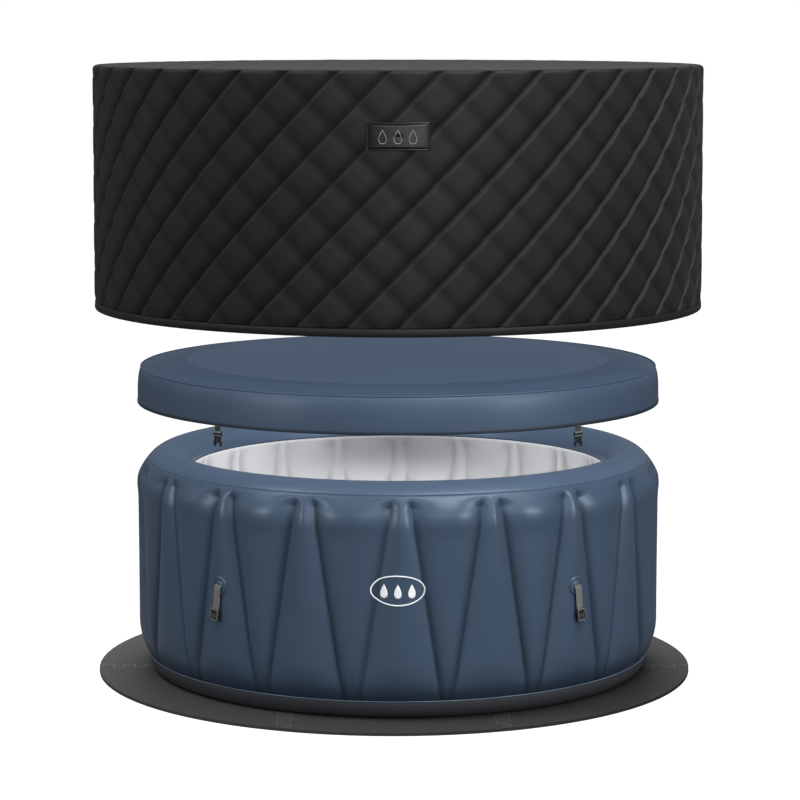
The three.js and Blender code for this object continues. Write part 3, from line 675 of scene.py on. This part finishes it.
def air_ring():
    lo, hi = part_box("air_jet_ring")
    outer = hi.x
    inner = outer - 27 * MM
    turn = np.linspace(0, math.pi / 2, 8)
    hump = [[inner + 27 * MM * (1 - math.cos(t)), lo.z + (hi.z - lo.z) * math.sin(t)] for t in turn]
    profile = [[inner, lo.z], [outer, lo.z], [outer, hi.z]] + hump[::-1][1:-1]
    tube = lathe("air_channel", profile, "tub", LINER, 240)
    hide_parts("air_jet_ring")
    holes = 96
    disc = 10
    points = []
    faces = []
    for number in range(holes):
        azimuth = 2 * math.pi * number / holes
        for ring_radius in (1.2, 2.6):
            for step in range(disc):
                turn = 2 * math.pi * step / disc
                side = ring_radius * MM * math.cos(turn)
                up = ring_radius * MM * math.sin(turn)
                place = inner + 7.5 * MM + up * 0.7
                points.append(polar(place, azimuth + side / inner, lo.z + 18.4 * MM + up * 0.75))
        first = number * 2 * disc
        ring_a = [first + step for step in range(disc)]
        ring_b = [first + disc + step for step in range(disc)]
        for s in range(disc):
            following = (s + 1) % disc
            faces.append([ring_a[s], ring_b[s], ring_b[following], ring_a[following]])
    eyelets = mesh_piece("air_eyelets", np.array(points), faces, "tub", GREY_PLASTIC)
    thicken(eyelets, 1.2 * MM, 1.0)


# ---- marks: three drops, a generic sign for water ----
def drop_outline(width, height, steps=28):
    """A water drop, pointed at the top, centred on the origin."""
    turn = circle(steps) + math.pi / 2
    sharp = np.sin((turn - math.pi / 2) / 2) ** 1.3
    x = 0.5 * width * np.cos(turn) * sharp
    z = 0.5 * height * np.sin(turn)
    return np.stack([x, z], axis=-1)


def on_wall(flat, lift):
    """Points given as x and height across the front, laid on the outer wall."""
    azimuth = np.arcsin(flat[..., 0] / TUB_R)
    return polar(wall_radius(azimuth, flat[..., 1]) + lift, azimuth, flat[..., 1])


def on_jacket(flat, lift):
    azimuth = np.arcsin(flat[..., 0] / JACKET_R)
    return polar(JACKET_R + lift, azimuth, flat[..., 1])


def shrunk_rings(outline, shares, centre):
    return np.stack([centre + (outline - centre) * share for share in shares])


def marks(name, bands, lay, lift, thickness, body, material):
    """Several flat shapes, each a stack of nested outlines from outside in, laid on a curved surface."""
    points = []
    faces = []
    for rings in bands:
        rows, columns = rings.shape[:2]
        offset = sum(len(part) for part in points)
        points.append(lay(rings, lift).reshape(-1, 3))
        faces += [[offset + corner for corner in face] for face in grid_faces(rows, columns, around=True)]
    piece = mesh_piece(name, np.concatenate(points), faces, body, material)
    return thicken(piece, thickness, 1.0)


def badge():
    lo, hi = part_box("tub_badge")
    centre = np.array([0.0, (lo.z + hi.z) / 2])
    width, height = hi.x - lo.x, hi.z - lo.z
    turn = circle(96)
    round_shape = np.stack([np.cos(turn), np.sin(turn)], axis=-1)
    half = np.array([width, height]) / 2
    bands = [np.stack([round_shape * half + centre, round_shape * (half - 4.6 * MM) + centre])]
    for side in (-1, 0, 1):
        middle = centre + np.array([side * 46 * MM, -2 * MM])
        drop = drop_outline(34 * MM, 48 * MM) + middle
        bands.append(shrunk_rings(drop, (1, 0.75, 0.5, 0.25, 0.02), middle - np.array([0, 6 * MM])))
    mark = marks("wall_badge", bands, on_wall, 0.6 * MM, 0.9 * MM, "tub", WHITE_PRINT)
    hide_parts("tub_badge")


# ---- straps, patches and buckles ----
BUCKLE_HALF_T = 6.5 * MM


class Station:
    """A place on the wall with axes across, outwards and up, turned by a lean about the outward one."""

    def __init__(self, joint, lean=0.0):
        x, y, self.z = JOINTS[joint]["pos_m"]
        self.azimuth = math.atan2(x, -y)
        self.radius = math.hypot(x, y)
        self.across = np.array([math.cos(self.azimuth), math.sin(self.azimuth), 0.0])
        self.outward = np.array([math.sin(self.azimuth), -math.cos(self.azimuth), 0.0])
        self.lean = lean

    def place(self, across, out, up):
        across, out, up = np.broadcast_arrays(across, out, up)
        turned_across = across * math.cos(self.lean) - up * math.sin(self.lean)
        turned_up = across * math.sin(self.lean) + up * math.cos(self.lean)
        base = self.outward * self.radius + np.array([0, 0, self.z])
        return (base + turned_across[..., None] * self.across + out[..., None] * self.outward
                + turned_up[..., None] * np.array([0.0, 0.0, 1.0]))


def ribbon(name, station, path, width, thickness, body, material):
    """A flat strap along a path of [out, up] points, with rounded edges and a UV map in metres."""
    path = np.array(path, float)
    lengths = np.concatenate([[0], np.cumsum(np.hypot(*np.diff(path, axis=0).T))])
    fine = np.linspace(0, lengths[-1], max(12, int(lengths[-1] / 0.0025)))
    out = np.interp(fine, lengths, path[:, 0])
    up = np.interp(fine, lengths, path[:, 1])
    for _ in range(4):
        out[1:-1] = (out[:-2] + 2 * out[1:-1] + out[2:]) / 4
        up[1:-1] = (up[:-2] + 2 * up[1:-1] + up[2:]) / 4
    along = np.stack([np.gradient(out), np.gradient(up)], axis=-1)
    along /= np.linalg.norm(along, axis=1, keepdims=True)
    normal = np.stack([-along[:, 1], along[:, 0]], axis=-1)
    half = thickness / 2
    right = [(0, -1), (0.45, -1), (0.9, -1), (0.97, -0.9), (1, -0.5),
             (1, 0.5), (0.97, 0.9), (0.9, 1), (0.45, 1)]
    section = right + [(-across, -rise) for across, rise in right]
    side = np.array([point[0] for point in section])[None, :] * width / 2
    rise = np.array([point[1] for point in section])[None, :] * half
    out_grid = out[:, None] + normal[:, :1] * rise
    up_grid = up[:, None] + normal[:, 1:] * rise
    points = station.place(side + 0 * out_grid, out_grid, up_grid)
    uv = np.stack([side + 0 * out_grid, fine[:, None] + 0 * side], axis=-1)
    faces = grid_faces(len(fine), len(section), around=True)
    last = (len(fine) - 1) * len(section)
    faces.append(list(range(len(section)))[::-1])
    faces.append([last + step for step in range(len(section))])
    return mesh_piece(name, points, faces, body, material, uv)


def wall_patch(place):
    """A welded disc: a thin flange on the wall and a raised dome that hides the sewn end."""
    lo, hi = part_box(f"wall_patch_{place}")
    station = Station(f"tub_strap_{place}_swing")
    centre_z = (lo.z + hi.z) / 2
    radius = (hi.z - lo.z) / 2 + 1 * MM
    flange = [(1.0, -1.5), (1.0, 0.9), (0.96, 1.2), (0.92, 1.2)]
    ring = [(0.9, 2.2), (0.87, 4.0), (0.83, 4.8), (0.79, 4.4), (0.75, 2.6), (0.71, 1.9)]
    dome = [(0.6, 2.4), (0.45, 4.2), (0.3, 5.2), (0.15, 5.6), (0.01, 5.7)]
    profile = flange + ring + dome
    turn = circle(64)
    share = np.array([point[0] for point in profile])[:, None]
    lift = np.array([point[1] for point in profile])[:, None] * MM
    side = share * radius * np.sin(turn)
    z = centre_z + share * radius * np.cos(turn)
    azimuth = station.azimuth + side / TUB_R
    points = polar(wall_radius(azimuth, z) + lift, azimuth, z)
    faces = grid_faces(len(profile), len(turn), around=True)
    patch = mesh_piece(f"patch_{place}", points, faces, "tub", NAVY)
    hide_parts(f"wall_patch_{place}")


def rounded_bars(name, station, bars, body):
    """Moulded bars on a buckle, each from its middle [across, out, up] and half sizes, with soft corners, in
    a paler grey that paints their highlight.
    """
    turn = np.linspace(0, math.pi, 9)[:, None]
    around = circle(20)[None, :]

    def soft(value):
        return np.sign(value) * np.abs(value) ** 0.45

    points = []
    faces = []
    for middle, half in bars:
        across = middle[0] + half[0] * soft(np.sin(turn) * np.cos(around))
        out = middle[1] + half[1] * soft(np.sin(turn) * np.sin(around))
        up = middle[2] + half[2] * soft(np.cos(turn) + 0 * around)
        first = len(points) * turn.size * around.size
        points.append(station.place(across, out, up).reshape(-1, 3))
        for face in grid_faces(turn.size, around.size, around=True):
            faces.append([first + corner for corner in face])
    piece = mesh_piece(name, np.concatenate(points), faces, body, BUCKLE_GLINT)
    weld = piece.modifiers.new("weld", "WELD")
    weld.merge_threshold = 0.01 * MM
    return piece


def socket_trim(place, station, body):
    """The socket's raised top bar and its ribs, in a paler grey that paints their highlight."""
    lo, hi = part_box(f"buckle_socket_{place}")
    length = hi.z - lo.z
    top = hi.z - station.z
    front = BUCKLE_HALF_T + 0.6 * MM
    side_half = (1.8 * MM, 1.6 * MM, length / 2 - 5 * MM)
    rib_half = (1.3 * MM, 1.4 * MM, 8 * MM)
    bars = [((0, front, top - 5 * MM), (17 * MM, 2.2 * MM, 2.4 * MM))]
    bars += [((side * 15.5 * MM, front, top - length / 2), side_half) for side in (-1, 1)]
    bars += [((side * 5.5 * MM, front - 0.4 * MM, top - 0.62 * length), rib_half) for side in (-1, 1)]
    bars.append(((0, front, top - length + 4 * MM), (15 * MM, 1.8 * MM, 1.8 * MM)))
    rounded_bars(f"socket_trim_{place}", station, bars, body)


def plug_trim(place, station, strap_length):
    """The plug's rounded strap bar and the ridge that stops it in the socket, both in a paler grey that
    paints their highlight.
    """
    top = -strap_length
    bars = [((0, 2.6 * MM, top - 3.5 * MM), (17.5 * MM, 3.2 * MM, 3.2 * MM)),
            ((0, 2.6 * MM, top - 15 * MM), (17 * MM, 2.4 * MM, 1.8 * MM))]
    rounded_bars(f"plug_trim_{place}", station, bars, f"lid_strap_{place}")


def straps():
    web_lo, web_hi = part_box("lid_strap_front_left")
    lid_length = web_hi.z - web_lo.z
    for place in PLACES:
        wall_patch(place)
        lean = math.radians(6.5 if place in ("front_right", "back_left") else -6.5)
        station = Station(f"tub_strap_{place}_swing", lean)
        body = f"tub_strap_{place}"
        top = [[-3.4, -1], [-1.0, -6], [0.4, -14], [0.3, -40], [0, -66], [0.2, -76]]
        loop = [[1.6, -80], [1.8, -83.5], [0, -85.5], [-2.2, -84], [-3.0, -80], [-2.6, -70], [-2.3, -46]]
        path = np.array(top + loop) * MM
        web = ribbon(f"webbing_tub_{place}", station, path, 27 * MM, 1.5 * MM,
                     body, GREY_WEB)
        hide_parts(f"tub_strap_{place}")
        socket_trim(place, station, body)
        lid_station = Station(f"lid_strap_{place}_swing")
        low_end = -lid_length / MM
        lid_path = np.array([[-1.0, 2.5], [-0.3, 0], [0, -3], [0, low_end + 1], [0, low_end - 3]]) * MM
        lid_body = f"lid_strap_{place}"
        lid_web = ribbon(f"webbing_lid_{place}", lid_station, lid_path, 25 * MM, 1.6 * MM,
                         lid_body, BLACK_WEB)
        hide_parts(f"lid_strap_{place}")
        plug_trim(place, lid_station, lid_length)


# ---- the lid ----
LID_SHOULDER_W = 190 * MM


def lid_side_line(share):
    """Radius and height of the lid's side, from its hem at 0 to its seam at 1."""
    z = LID_HEM_Z + (LID_SEAM_Z - LID_HEM_Z) * share
    swell = np.sqrt(np.clip(1 - share**3.2, 0, 1))
    return LID_SEAM_R + (LID_HEM_R - LID_SEAM_R - 1.5 * MM) * swell, z


def lid_cover():
    """The padded cap: its side and top swell between the hem and the seam, by cloth simulation."""
    steps = 240
    azimuth = circle(steps)[None, :]
    side_share = np.append(np.linspace(0, 1, 13)[:-1], [0.975, 1])[:, None]
    side_r, side_z = lid_side_line(side_share)
    top_share = np.concatenate([[0.004], np.linspace(0, 0.2, 14)[1:], np.linspace(0.2, 1, 26)[1:]])[:, None]
    top_r = LID_SEAM_R * (1 - top_share) + 0.002 * top_share
    up_shoulder = np.clip((LID_SEAM_R - top_r) / LID_SHOULDER_W, 0, 1)
    crown = 0.86 * (1 - (1 - up_shoulder) ** 2.4) + 0.14 * top_share
    top_z = LID_SEAM_Z + (LID_TOP_Z - 8 * MM - LID_SEAM_Z) * crown
    radius = np.concatenate([side_r, top_r])
    z = np.concatenate([side_z, top_z])
    points = polar(radius, azimuth, z + 0 * azimuth)
    faces = grid_faces(len(radius), steps, around=True)
    faces.append(middle_cap(len(radius) - 1, steps)[::-1])
    cover = mesh_piece("lid_skin", points, faces, "lid", NAVY_LID)
    pinned = cover.vertex_groups.new(name="pinned")
    seam = len(side_share) - 1
    rows = [0, 1, seam]
    pinned.add([row * steps + column for row in rows for column in range(steps)], 1.0, "REPLACE")
    swell(cover, pinned, 2.0, 0.0, 7 * MM)
    thicken(cover, 3 * MM)
    fine = cover.modifiers.new("fine", "SUBSURF")
    fine.levels = fine.render_levels = 1
    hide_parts("lid_cover")


def swell(piece, pinned, pressure, shrink, cap):
    """Blows a sheet up against its pinned seams and keeps the result, eased off towards the cap."""
    count = len(piece.data.vertices)
    rest = np.empty(count * 3)
    piece.data.vertices.foreach_get("co", rest)
    cloth = piece.modifiers.new("swell", "CLOTH")
    settings = cloth.settings
    settings.quality = 5
    settings.mass = 0.25
    settings.tension_stiffness = 25
    settings.compression_stiffness = 25
    settings.bending_stiffness = 6.0
    settings.use_pressure = True
    settings.uniform_pressure_force = pressure
    settings.shrink_min = shrink
    settings.vertex_group_mass = pinned.name
    settings.effector_weights.gravity = 0
    cloth.collision_settings.use_collision = False
    cloth.point_cache.frame_start = 1
    cloth.point_cache.frame_end = 22
    scene = bpy.context.scene
    for step in range(1, 22):
        scene.frame_set(step)
    moved_mesh = piece.evaluated_get(bpy.context.evaluated_depsgraph_get()).data
    moved = np.empty(count * 3)
    moved_mesh.vertices.foreach_get("co", moved)
    piece.modifiers.remove(cloth)
    scene.frame_set(1)
    shift = (moved - rest).reshape(-1, 3)
    length = np.maximum(np.linalg.norm(shift, axis=1, keepdims=True), 1e-9)
    shift *= cap * (1 - np.exp(-length / cap)) / length
    piece.data.vertices.foreach_set("co", (rest.reshape(-1, 3) + shift).ravel())
    piece.data.update()


def lid_trim():
    hem = [[-3.2, -0.5], [0.6, -0.5], [1.0, 2], [1.0, 9], [0.4, 11], [-3.2, 11]]
    points = [[LID_HEM_R - 1.0 * MM + r * MM, LID_HEM_Z + z * MM] for r, z in hem]
    lathe("lid_hem", points, "lid", HEM_NAVY, 240)
    profile = cord_profile(LID_SEAM_R + 2.6 * MM, LID_SEAM_Z + 1 * MM, 3.4 * MM)
    piping = lathe("lid_cord", profile, "lid", NAVY_LID, 240)
    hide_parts("lid_piping")


def lid_pad():
    """The air-filled pad under the cover, with round weld spots on its underside."""
    lo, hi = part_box("lid_bladder")
    steps = 144
    azimuth = circle(steps)[None, :]
    edge = hi.x - 6 * MM
    radius = np.linspace(0.003, edge, 60)[:, None]
    lanes = np.cos(radius * 2 * math.pi / 0.21)
    ribs = np.abs(np.cos(azimuth * 6)) ** 0.5
    under = lo.z + 9 * MM - 5 * MM * (0.5 + 0.5 * lanes) * (0.4 + 0.6 * ribs)
    turn = np.linspace(0, math.pi / 2, 8)[1:, None]
    side_r = edge + 6 * MM * np.sin(turn)
    side_z = hi.z - 30 * MM + 24 * MM * (1 - np.cos(turn)) - 30 * MM * np.cos(turn)
    points = np.concatenate([polar(radius, azimuth, under), polar(side_r, azimuth, side_z)])
    faces = grid_faces(len(radius) + len(turn), steps, around=True) + [middle_cap(0, steps)]
    pad = mesh_piece("lid_pad", points, [face[::-1] for face in faces], "lid", LINER)
    thicken(pad, 1.5 * MM)
    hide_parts("lid_bladder")


# ---- the jacket ----
GROOVES = 40
JACKET_SHOULDER = 16 * MM
GROOVE_DEPTH = 12 * MM
CROSS_DEPTH = 6 * MM
SHARP_SHARE = 0.06  # of a channel, for the steep side of its groove
GENTLE_START = 0.62  # where the cloth starts to roll down to the next groove


def quilt_relief(azimuth, z):
    """How far the quilted cloth lies below its crest: slanted channels and a fainter set across them."""
    climb = (z - JACKET_LOW_Z) / JACKET_R
    channel = ((azimuth - climb) * GROOVES / (2 * math.pi)) % 1
    sharp = 1 - smooth(channel, 0.0, SHARP_SHARE)
    gentle = np.clip((channel - GENTLE_START) / (1 - GENTLE_START), 0, 1) ** 2
    roll = np.where(channel < SHARP_SHARE, sharp, gentle)
    other = ((azimuth + climb) * GROOVES / (2 * math.pi)) % 1
    cross = np.clip(1 - np.abs(other - 0.5) / 0.3, 0, 1) ** 1.4
    return GROOVE_DEPTH * roll + CROSS_DEPTH * cross * (1 - 0.6 * roll)


def jacket_side():
    columns_each = 18
    steps = GROOVES * columns_each
    shares = np.concatenate([
        np.linspace(0, SHARP_SHARE, 4, endpoint=False),
        np.linspace(SHARP_SHARE, 1, columns_each - 4, endpoint=False),
    ])
    rows = np.linspace(JACKET_LOW_Z - 4 * MM, JACKET_TOP_Z - JACKET_SHOULDER, 76)[:, None]
    first = ((np.arange(GROOVES)[:, None] + shares[None, :]) * 2 * math.pi / GROOVES).reshape(1, steps)
    azimuth = first + (rows - JACKET_LOW_Z) / JACKET_R
    line = JACKET_R - 0.5 * MM - 3 * MM * smooth(rows, JACKET_LOW_Z, JACKET_TOP_Z)
    hem_pull = 3 * MM * (1 - smooth(rows, JACKET_LOW_Z, JACKET_LOW_Z + 0.03))
    body = polar(line - hem_pull - quilt_relief(azimuth, rows), azimuth, rows + 0 * azimuth)
    turn = np.linspace(0, math.pi / 2, 9)[1:, None]
    top_azimuth = azimuth[-1:, :] + (JACKET_SHOULDER * np.sin(turn)) / JACKET_R
    fade = 1 - smooth(turn, 0.2, 1.5)
    roll_in = JACKET_SHOULDER * (1 - np.cos(turn))
    shoulder_z = JACKET_TOP_Z - JACKET_SHOULDER + (JACKET_SHOULDER - 2 * MM) * np.sin(turn)
    level = JACKET_TOP_Z - JACKET_SHOULDER + JACKET_SHOULDER * np.sin(turn)
    relief = quilt_relief(top_azimuth, level) * fade
    shoulder = polar(line[-1] - roll_in - relief, top_azimuth, shoulder_z + 0 * top_azimuth)
    points = np.concatenate([body, shoulder])
    faces = grid_faces(len(points), steps, around=True)
    side = mesh_piece("jacket_quilt", points, faces, "jacket", QUILT)
    # painted shade in the grooves, from the depth of the quilting
    valley = np.concatenate([quilt_relief(azimuth, rows), relief]) / GROOVE_DEPTH
    keep_painted_shade(side, valley)
    thicken(side, 3 * MM)
    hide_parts("jacket_side")


def jacket_top():
    """The top panel, quilted in wide rings of soft squares, sewn to the side by a drawn-in seam."""
    steps = 360
    azimuth = circle(steps)[None, :]
    edge = JACKET_R - 3.5 * MM - JACKET_SHOULDER
    radius = np.linspace(0.003, edge, 150)[:, None]
    x = radius * np.sin(azimuth)
    y = -radius * np.cos(azimuth)
    pitch = 2 * math.pi * JACKET_R / GROOVES / math.sqrt(2)
    slanted = ((x + y) / math.sqrt(2) / pitch) % 1
    crossing = ((x - y) / math.sqrt(2) / pitch) % 1
    swell = 1 - np.abs(2 * slanted - 1) ** 4
    soft = np.sin(math.pi * crossing) ** 0.6
    rise = 6 * MM * swell * (0.55 + 0.45 * soft) * (1 - smooth(radius, edge - 0.012, edge))
    seam_drop = 3 * MM * smooth(radius, edge - 10 * MM, edge)
    z = JACKET_TOP_Z - 7 * MM + rise - seam_drop
    points = polar(radius, azimuth, z)
    faces = grid_faces(len(radius), steps, around=True) + [middle_cap(0, steps)]
    faces = [face[::-1] for face in faces]
    top = mesh_piece("jacket_crown", points, faces, "jacket", QUILT)
    thicken(top, 3 * MM)
    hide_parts("jacket_top")
    seam = cord_profile(edge + 1.2 * MM, JACKET_TOP_Z - 6 * MM, 2.4 * MM, 8)
    lathe("jacket_seam", seam, "jacket", BINDING, 360)


def jacket_hem():
    lo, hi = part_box("jacket_hem")
    outer = hi.x + 0.8 * MM
    inner = outer - GROOVE_DEPTH - CROSS_DEPTH - 4 * MM
    profile = [[inner, lo.z + 1.5 * MM], [inner + 1.5 * MM, lo.z], [outer - 1.5 * MM, lo.z],
               [outer, lo.z + 2 * MM], [outer + 0.4 * MM, lo.z + 10 * MM], [outer - 1 * MM, hi.z - 1 * MM],
               [outer - 3 * MM, hi.z], [inner, hi.z]]
    hem = lathe("jacket_binding", profile, "jacket", BINDING, 360)
    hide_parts("jacket_hem")


def rounded_box_outline(width, height, corner, steps=6, straight=14):
    """A box with round corners, and points along its straight sides so that it can follow a curve."""
    points = []
    for quarter, (sx, sz) in enumerate(((1, 1), (-1, 1), (-1, -1), (1, -1))):
        for step in range(steps + 1):
            turn = math.pi / 2 * (quarter + step / steps)
            centre_x = sx * (width / 2 - corner)
            centre_z = sz * (height / 2 - corner)
            points.append([centre_x + corner * math.cos(turn), centre_z + corner * math.sin(turn)])
    filled = []
    for number, point in enumerate(points):
        filled.append(point)
        if number % (steps + 1) == steps:
            following = points[(number + 1) % len(points)]
            filled += np.linspace(point, following, straight + 2)[1:-1].tolist()
    return np.array(filled)


def jacket_label():
    lo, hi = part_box("jacket_label")
    centre = np.array([0.0, (lo.z + hi.z) / 2])
    outline = rounded_box_outline(hi.x - lo.x, hi.z - lo.z, 4 * MM) + centre
    inward = outline - centre
    inward /= np.linalg.norm(inward, axis=1, keepdims=True)
    frame_rings = [outline - inward * step * MM for step in (0, 0.6, 2.2, 3.0)]
    field = shrunk_rings(frame_rings[-1], (0.98, 0.8, 0.6, 0.4, 0.2, 0.01), centre)
    lift = np.array([-2.0, -1.0, -1.0, -1.9] + [-1.9] * len(field))[:, None] * MM
    plate = [np.concatenate([frame_rings, field])]
    patch = marks("label_patch", plate, on_jacket, lift, 2.4 * MM, "jacket", LABEL)
    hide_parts("jacket_label")
    lines = []
    for side in (-1, 0, 1):
        middle = centre + np.array([side * 48 * MM, -1 * MM])
        outer = drop_outline(36 * MM, 46 * MM, 40)
        inner = drop_outline(31 * MM, 40 * MM, 40)
        lines.append(np.stack([outer, inner - np.array([0, 0.8 * MM])]) + middle)
    marks("label_marks", lines, on_jacket, 1.0 * MM, 0.5 * MM, "jacket", PALE_PRINT)


# ---- carried-over CAD pieces ----
def finish_node(node, material, bevel):
    """Keeps a CAD node's shape and gives it soft edges and its material."""
    piece = NODES[node]
    piece.data.materials.clear()
    piece.data.materials.append(material)
    piece.data.polygons.foreach_set("use_smooth", np.ones(len(piece.data.polygons), bool))
    if "custom_normal" in piece.data.attributes:
        piece.data.attributes.remove(piece.data.attributes["custom_normal"])
    weld = piece.modifiers.new("weld", "WELD")
    weld.merge_threshold = 0.01 * MM
    edge = piece.modifiers.new("edges", "BEVEL")
    edge.width = bevel
    edge.segments = 3
    edge.limit_method = "ANGLE"
    edge.angle_limit = math.radians(28)
    edge.harden_normals = True
    edge.use_clamp_overlap = True


def hard_pieces():
    """Materials and soft edges for the CAD nodes that stay as they are."""
    for node in NODES:
        if node.startswith("mat_tile"):
            finish_node(node, FOAM, 1.6 * MM)
            NODES[node].data.materials.append(FOAM_EDGE)
            NODES[node].modifiers["edges"].material = 1
        elif node.startswith(("buckle_socket", "buckle_plug")):
            finish_node(node, BUCKLE, 1.1 * MM)
        elif node.startswith("button_"):
            finish_node(node, GREY_PLASTIC, 0.9 * MM)
    looks = (
        (DARK_PLASTIC, 1.0 * MM, ("inflation_valve", "inflation_valve_cap")),
        (DARK_PLASTIC, 1.0 * MM, ("drain_valve", "drain_valve_cap")),
        (DARK_PLASTIC, 1.2 * MM, ("service_cover", "control_panel", "power_inlet")),
        (GREY_PLASTIC, 1.0 * MM, ("heater_housing", "filter_base", "filter_cover", "pump_impeller")),
        (DARK_PLASTIC, 1.5 * MM, ("pump_body", "air_blower")),
        (METAL, 1.0 * MM, ("heater_tube",)),
        (BOARD, 0.3 * MM, ("circuit_board",)),
        (PAPER, 0.8 * MM, ("filter_cartridge",)),
        (NAVY, 0.5 * MM, ("wall_baffles",)),
    )
    for material, bevel, nodes in looks:
        for node in nodes:
            finish_node(node, material, bevel)


# ---- camera, light and floor ----
def camera():
    data = bpy.data.cameras.new("camera")
    data.sensor_width = 36.0
    data.lens = 130.1
    data.clip_end = 100.0
    view = bpy.data.objects.new("camera", data)
    bpy.context.scene.collection.objects.link(view)
    view.location = (0.007, -11 * TUB_R, 2.489 * TUB_R + BASE_Z)
    view.rotation_euler = (math.radians(90 - 7.6), 0.0, 0.0)
    bpy.context.scene.camera = view


def softbox(name, azimuth, elevation, distance, width, height, power, aim_z=0.9):
    """A lamp with a soft round face, from where it stands as seen from the object, in degrees and metres."""
    data = bpy.data.lights.new(name, "AREA")
    data.shape = "ELLIPSE"
    data.size = width
    data.size_y = height
    data.energy = power
    light = bpy.data.objects.new(name, data)
    bpy.context.scene.collection.objects.link(light)
    turn, lift = math.radians(azimuth), math.radians(elevation)
    away = Vector((math.sin(turn) * math.cos(lift), -math.cos(turn) * math.cos(lift), math.sin(lift)))
    light.location = Vector((0, 0, aim_z)) + away * distance
    light.rotation_mode = "QUATERNION"
    light.rotation_quaternion = away.to_track_quat("Z", "Y")
    light.visible_camera = False
    return light


def group(name, pieces):
    """A collection of pieces, for a light to fall on or to be held back by."""
    kept = bpy.data.collections.new(name)
    for piece in pieces:
        kept.objects.link(piece)
    return kept


def outside_of(bodies, name):
    """The pieces that ride on none of these bodies."""
    return group(name, [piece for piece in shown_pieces() if not bodies & set(body_of(piece))])


def lights():
    """Soft lamps. Most shine through the floating lid and jacket, so that the tub under them is lit."""
    key = softbox("softbox_key", 36, 54, 6.5, 4.6, 3.0, 330)
    left = softbox("softbox_left", -64, 54, 6.5, 2.4, 2.6, 110)
    front = softbox("softbox_front", 8, 18, 7.0, 5.0, 3.0, 94)
    low_right = softbox("softbox_low_right", 50, 14, 7.0, 1.8, 2.6, 170)
    low_left = softbox("softbox_low_left", -50, 14, 7.0, 1.4, 2.6, 110)
    softbox("softbox_flank", -92, 18, 6.0, 0.8, 3.0, 12)
    softbox("softbox_back", 180, 40, 7.0, 5.0, 2.5, 36)
    over = softbox("softbox_over", 0, 90, 4.5, 5.0, 5.0, 145)
    behind = softbox("softbox_behind", 180, 45, 6.0, 5.0, 2.5, 260)
    shine = softbox("softbox_shine", 180, 30, 6.0, 6.0, 0.8, 14, LID_TOP_Z)
    tiles = [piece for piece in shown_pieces() if piece.name.startswith("mat_tile")]
    below_jacket = outside_of({"jacket"}, "below_jacket")
    holding = outside_of({"lid", "jacket"}, "holding")
    for light in (key, left, front, low_right, low_left, over, behind, shine):
        light.light_linking.blocker_collection = holding
    lid_and_tub = group("lid_and_tub", [piece for piece in below_jacket.objects if piece not in tiles])
    lid = [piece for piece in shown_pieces() if "lid" in body_of(piece)]
    above_mat = [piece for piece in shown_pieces() if piece not in tiles]
    over.light_linking.receiver_collection = below_jacket
    for light in (low_right, low_left):
        light.light_linking.receiver_collection = lid_and_tub
    behind.light_linking.receiver_collection = group("mat", tiles)
    shine.light_linking.receiver_collection = group("lid", lid)
    key.light_linking.receiver_collection = group("above_mat", above_mat)


def surroundings():
    """White behind everything for the camera, and a dim bluish light from all sides for the object."""
    scene = bpy.context.scene
    scene.view_settings.view_transform = "Standard"
    world = bpy.data.worlds.new("studio")
    scene.world = world
    world.use_nodes = True
    tree = world.node_tree
    tree.nodes.clear()
    output = tree.nodes.new("ShaderNodeOutputWorld")
    seen = tree.nodes.new("ShaderNodeBackground")
    seen.inputs["Color"].default_value = (1, 1, 1, 1)
    seen.inputs["Strength"].default_value = 1.0
    ambient = tree.nodes.new("ShaderNodeBackground")
    ambient.inputs["Color"].default_value = (0.93, 0.96, 1.0, 1)
    ambient.inputs["Strength"].default_value = 0.17
    mix = tree.nodes.new("ShaderNodeMixShader")
    path = tree.nodes.new("ShaderNodeLightPath")
    tree.links.new(path.outputs["Is Camera Ray"], mix.inputs["Fac"])
    tree.links.new(ambient.outputs[0], mix.inputs[1])
    tree.links.new(seen.outputs[0], mix.inputs[2])
    tree.links.new(mix.outputs[0], output.inputs["Surface"])


def floor():
    look = Shader("studio_floor", linear(170, 170, 170), 0.9)
    glow = look.node("ShaderNodeEmission")
    glow.inputs["Strength"].default_value = 1.0
    both = look.node("ShaderNodeAddShader")
    look.link(look.bsdf.outputs[0], both.inputs[0])
    look.link(glow.outputs[0], both.inputs[1])
    seen = look.node("ShaderNodeMixShader")
    look.link(look.node("ShaderNodeLightPath").outputs["Is Camera Ray"], seen.inputs[0])
    look.link(look.bsdf.outputs[0], seen.inputs[1])
    look.link(both.outputs[0], seen.inputs[2])
    look.link(seen.outputs[0], look.tree.nodes["Material Output"].inputs["Surface"])
    mesh = bpy.data.meshes.new("floor")
    reach = 30.0
    corners = [(-reach, -reach, 0), (reach, -reach, 0), (reach, reach, 0), (-reach, reach, 0)]
    mesh.from_pydata(corners, [], [(0, 1, 2, 3)])
    mesh.materials.append(look.material)
    ground = bpy.data.objects.new("floor", mesh)
    ground.location.z = -0.5 * MM
    bpy.context.scene.collection.objects.link(ground)
    ground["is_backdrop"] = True


camera()
floor()
outer_wall()
foot_of_wall()
top_rim()
inner_wall()
tub_floor()
air_ring()
badge()
straps()
lid_cover()
lid_trim()
lid_pad()
jacket_side()
jacket_top()
jacket_hem()
jacket_label()
hard_pieces()
lights()
surroundings()
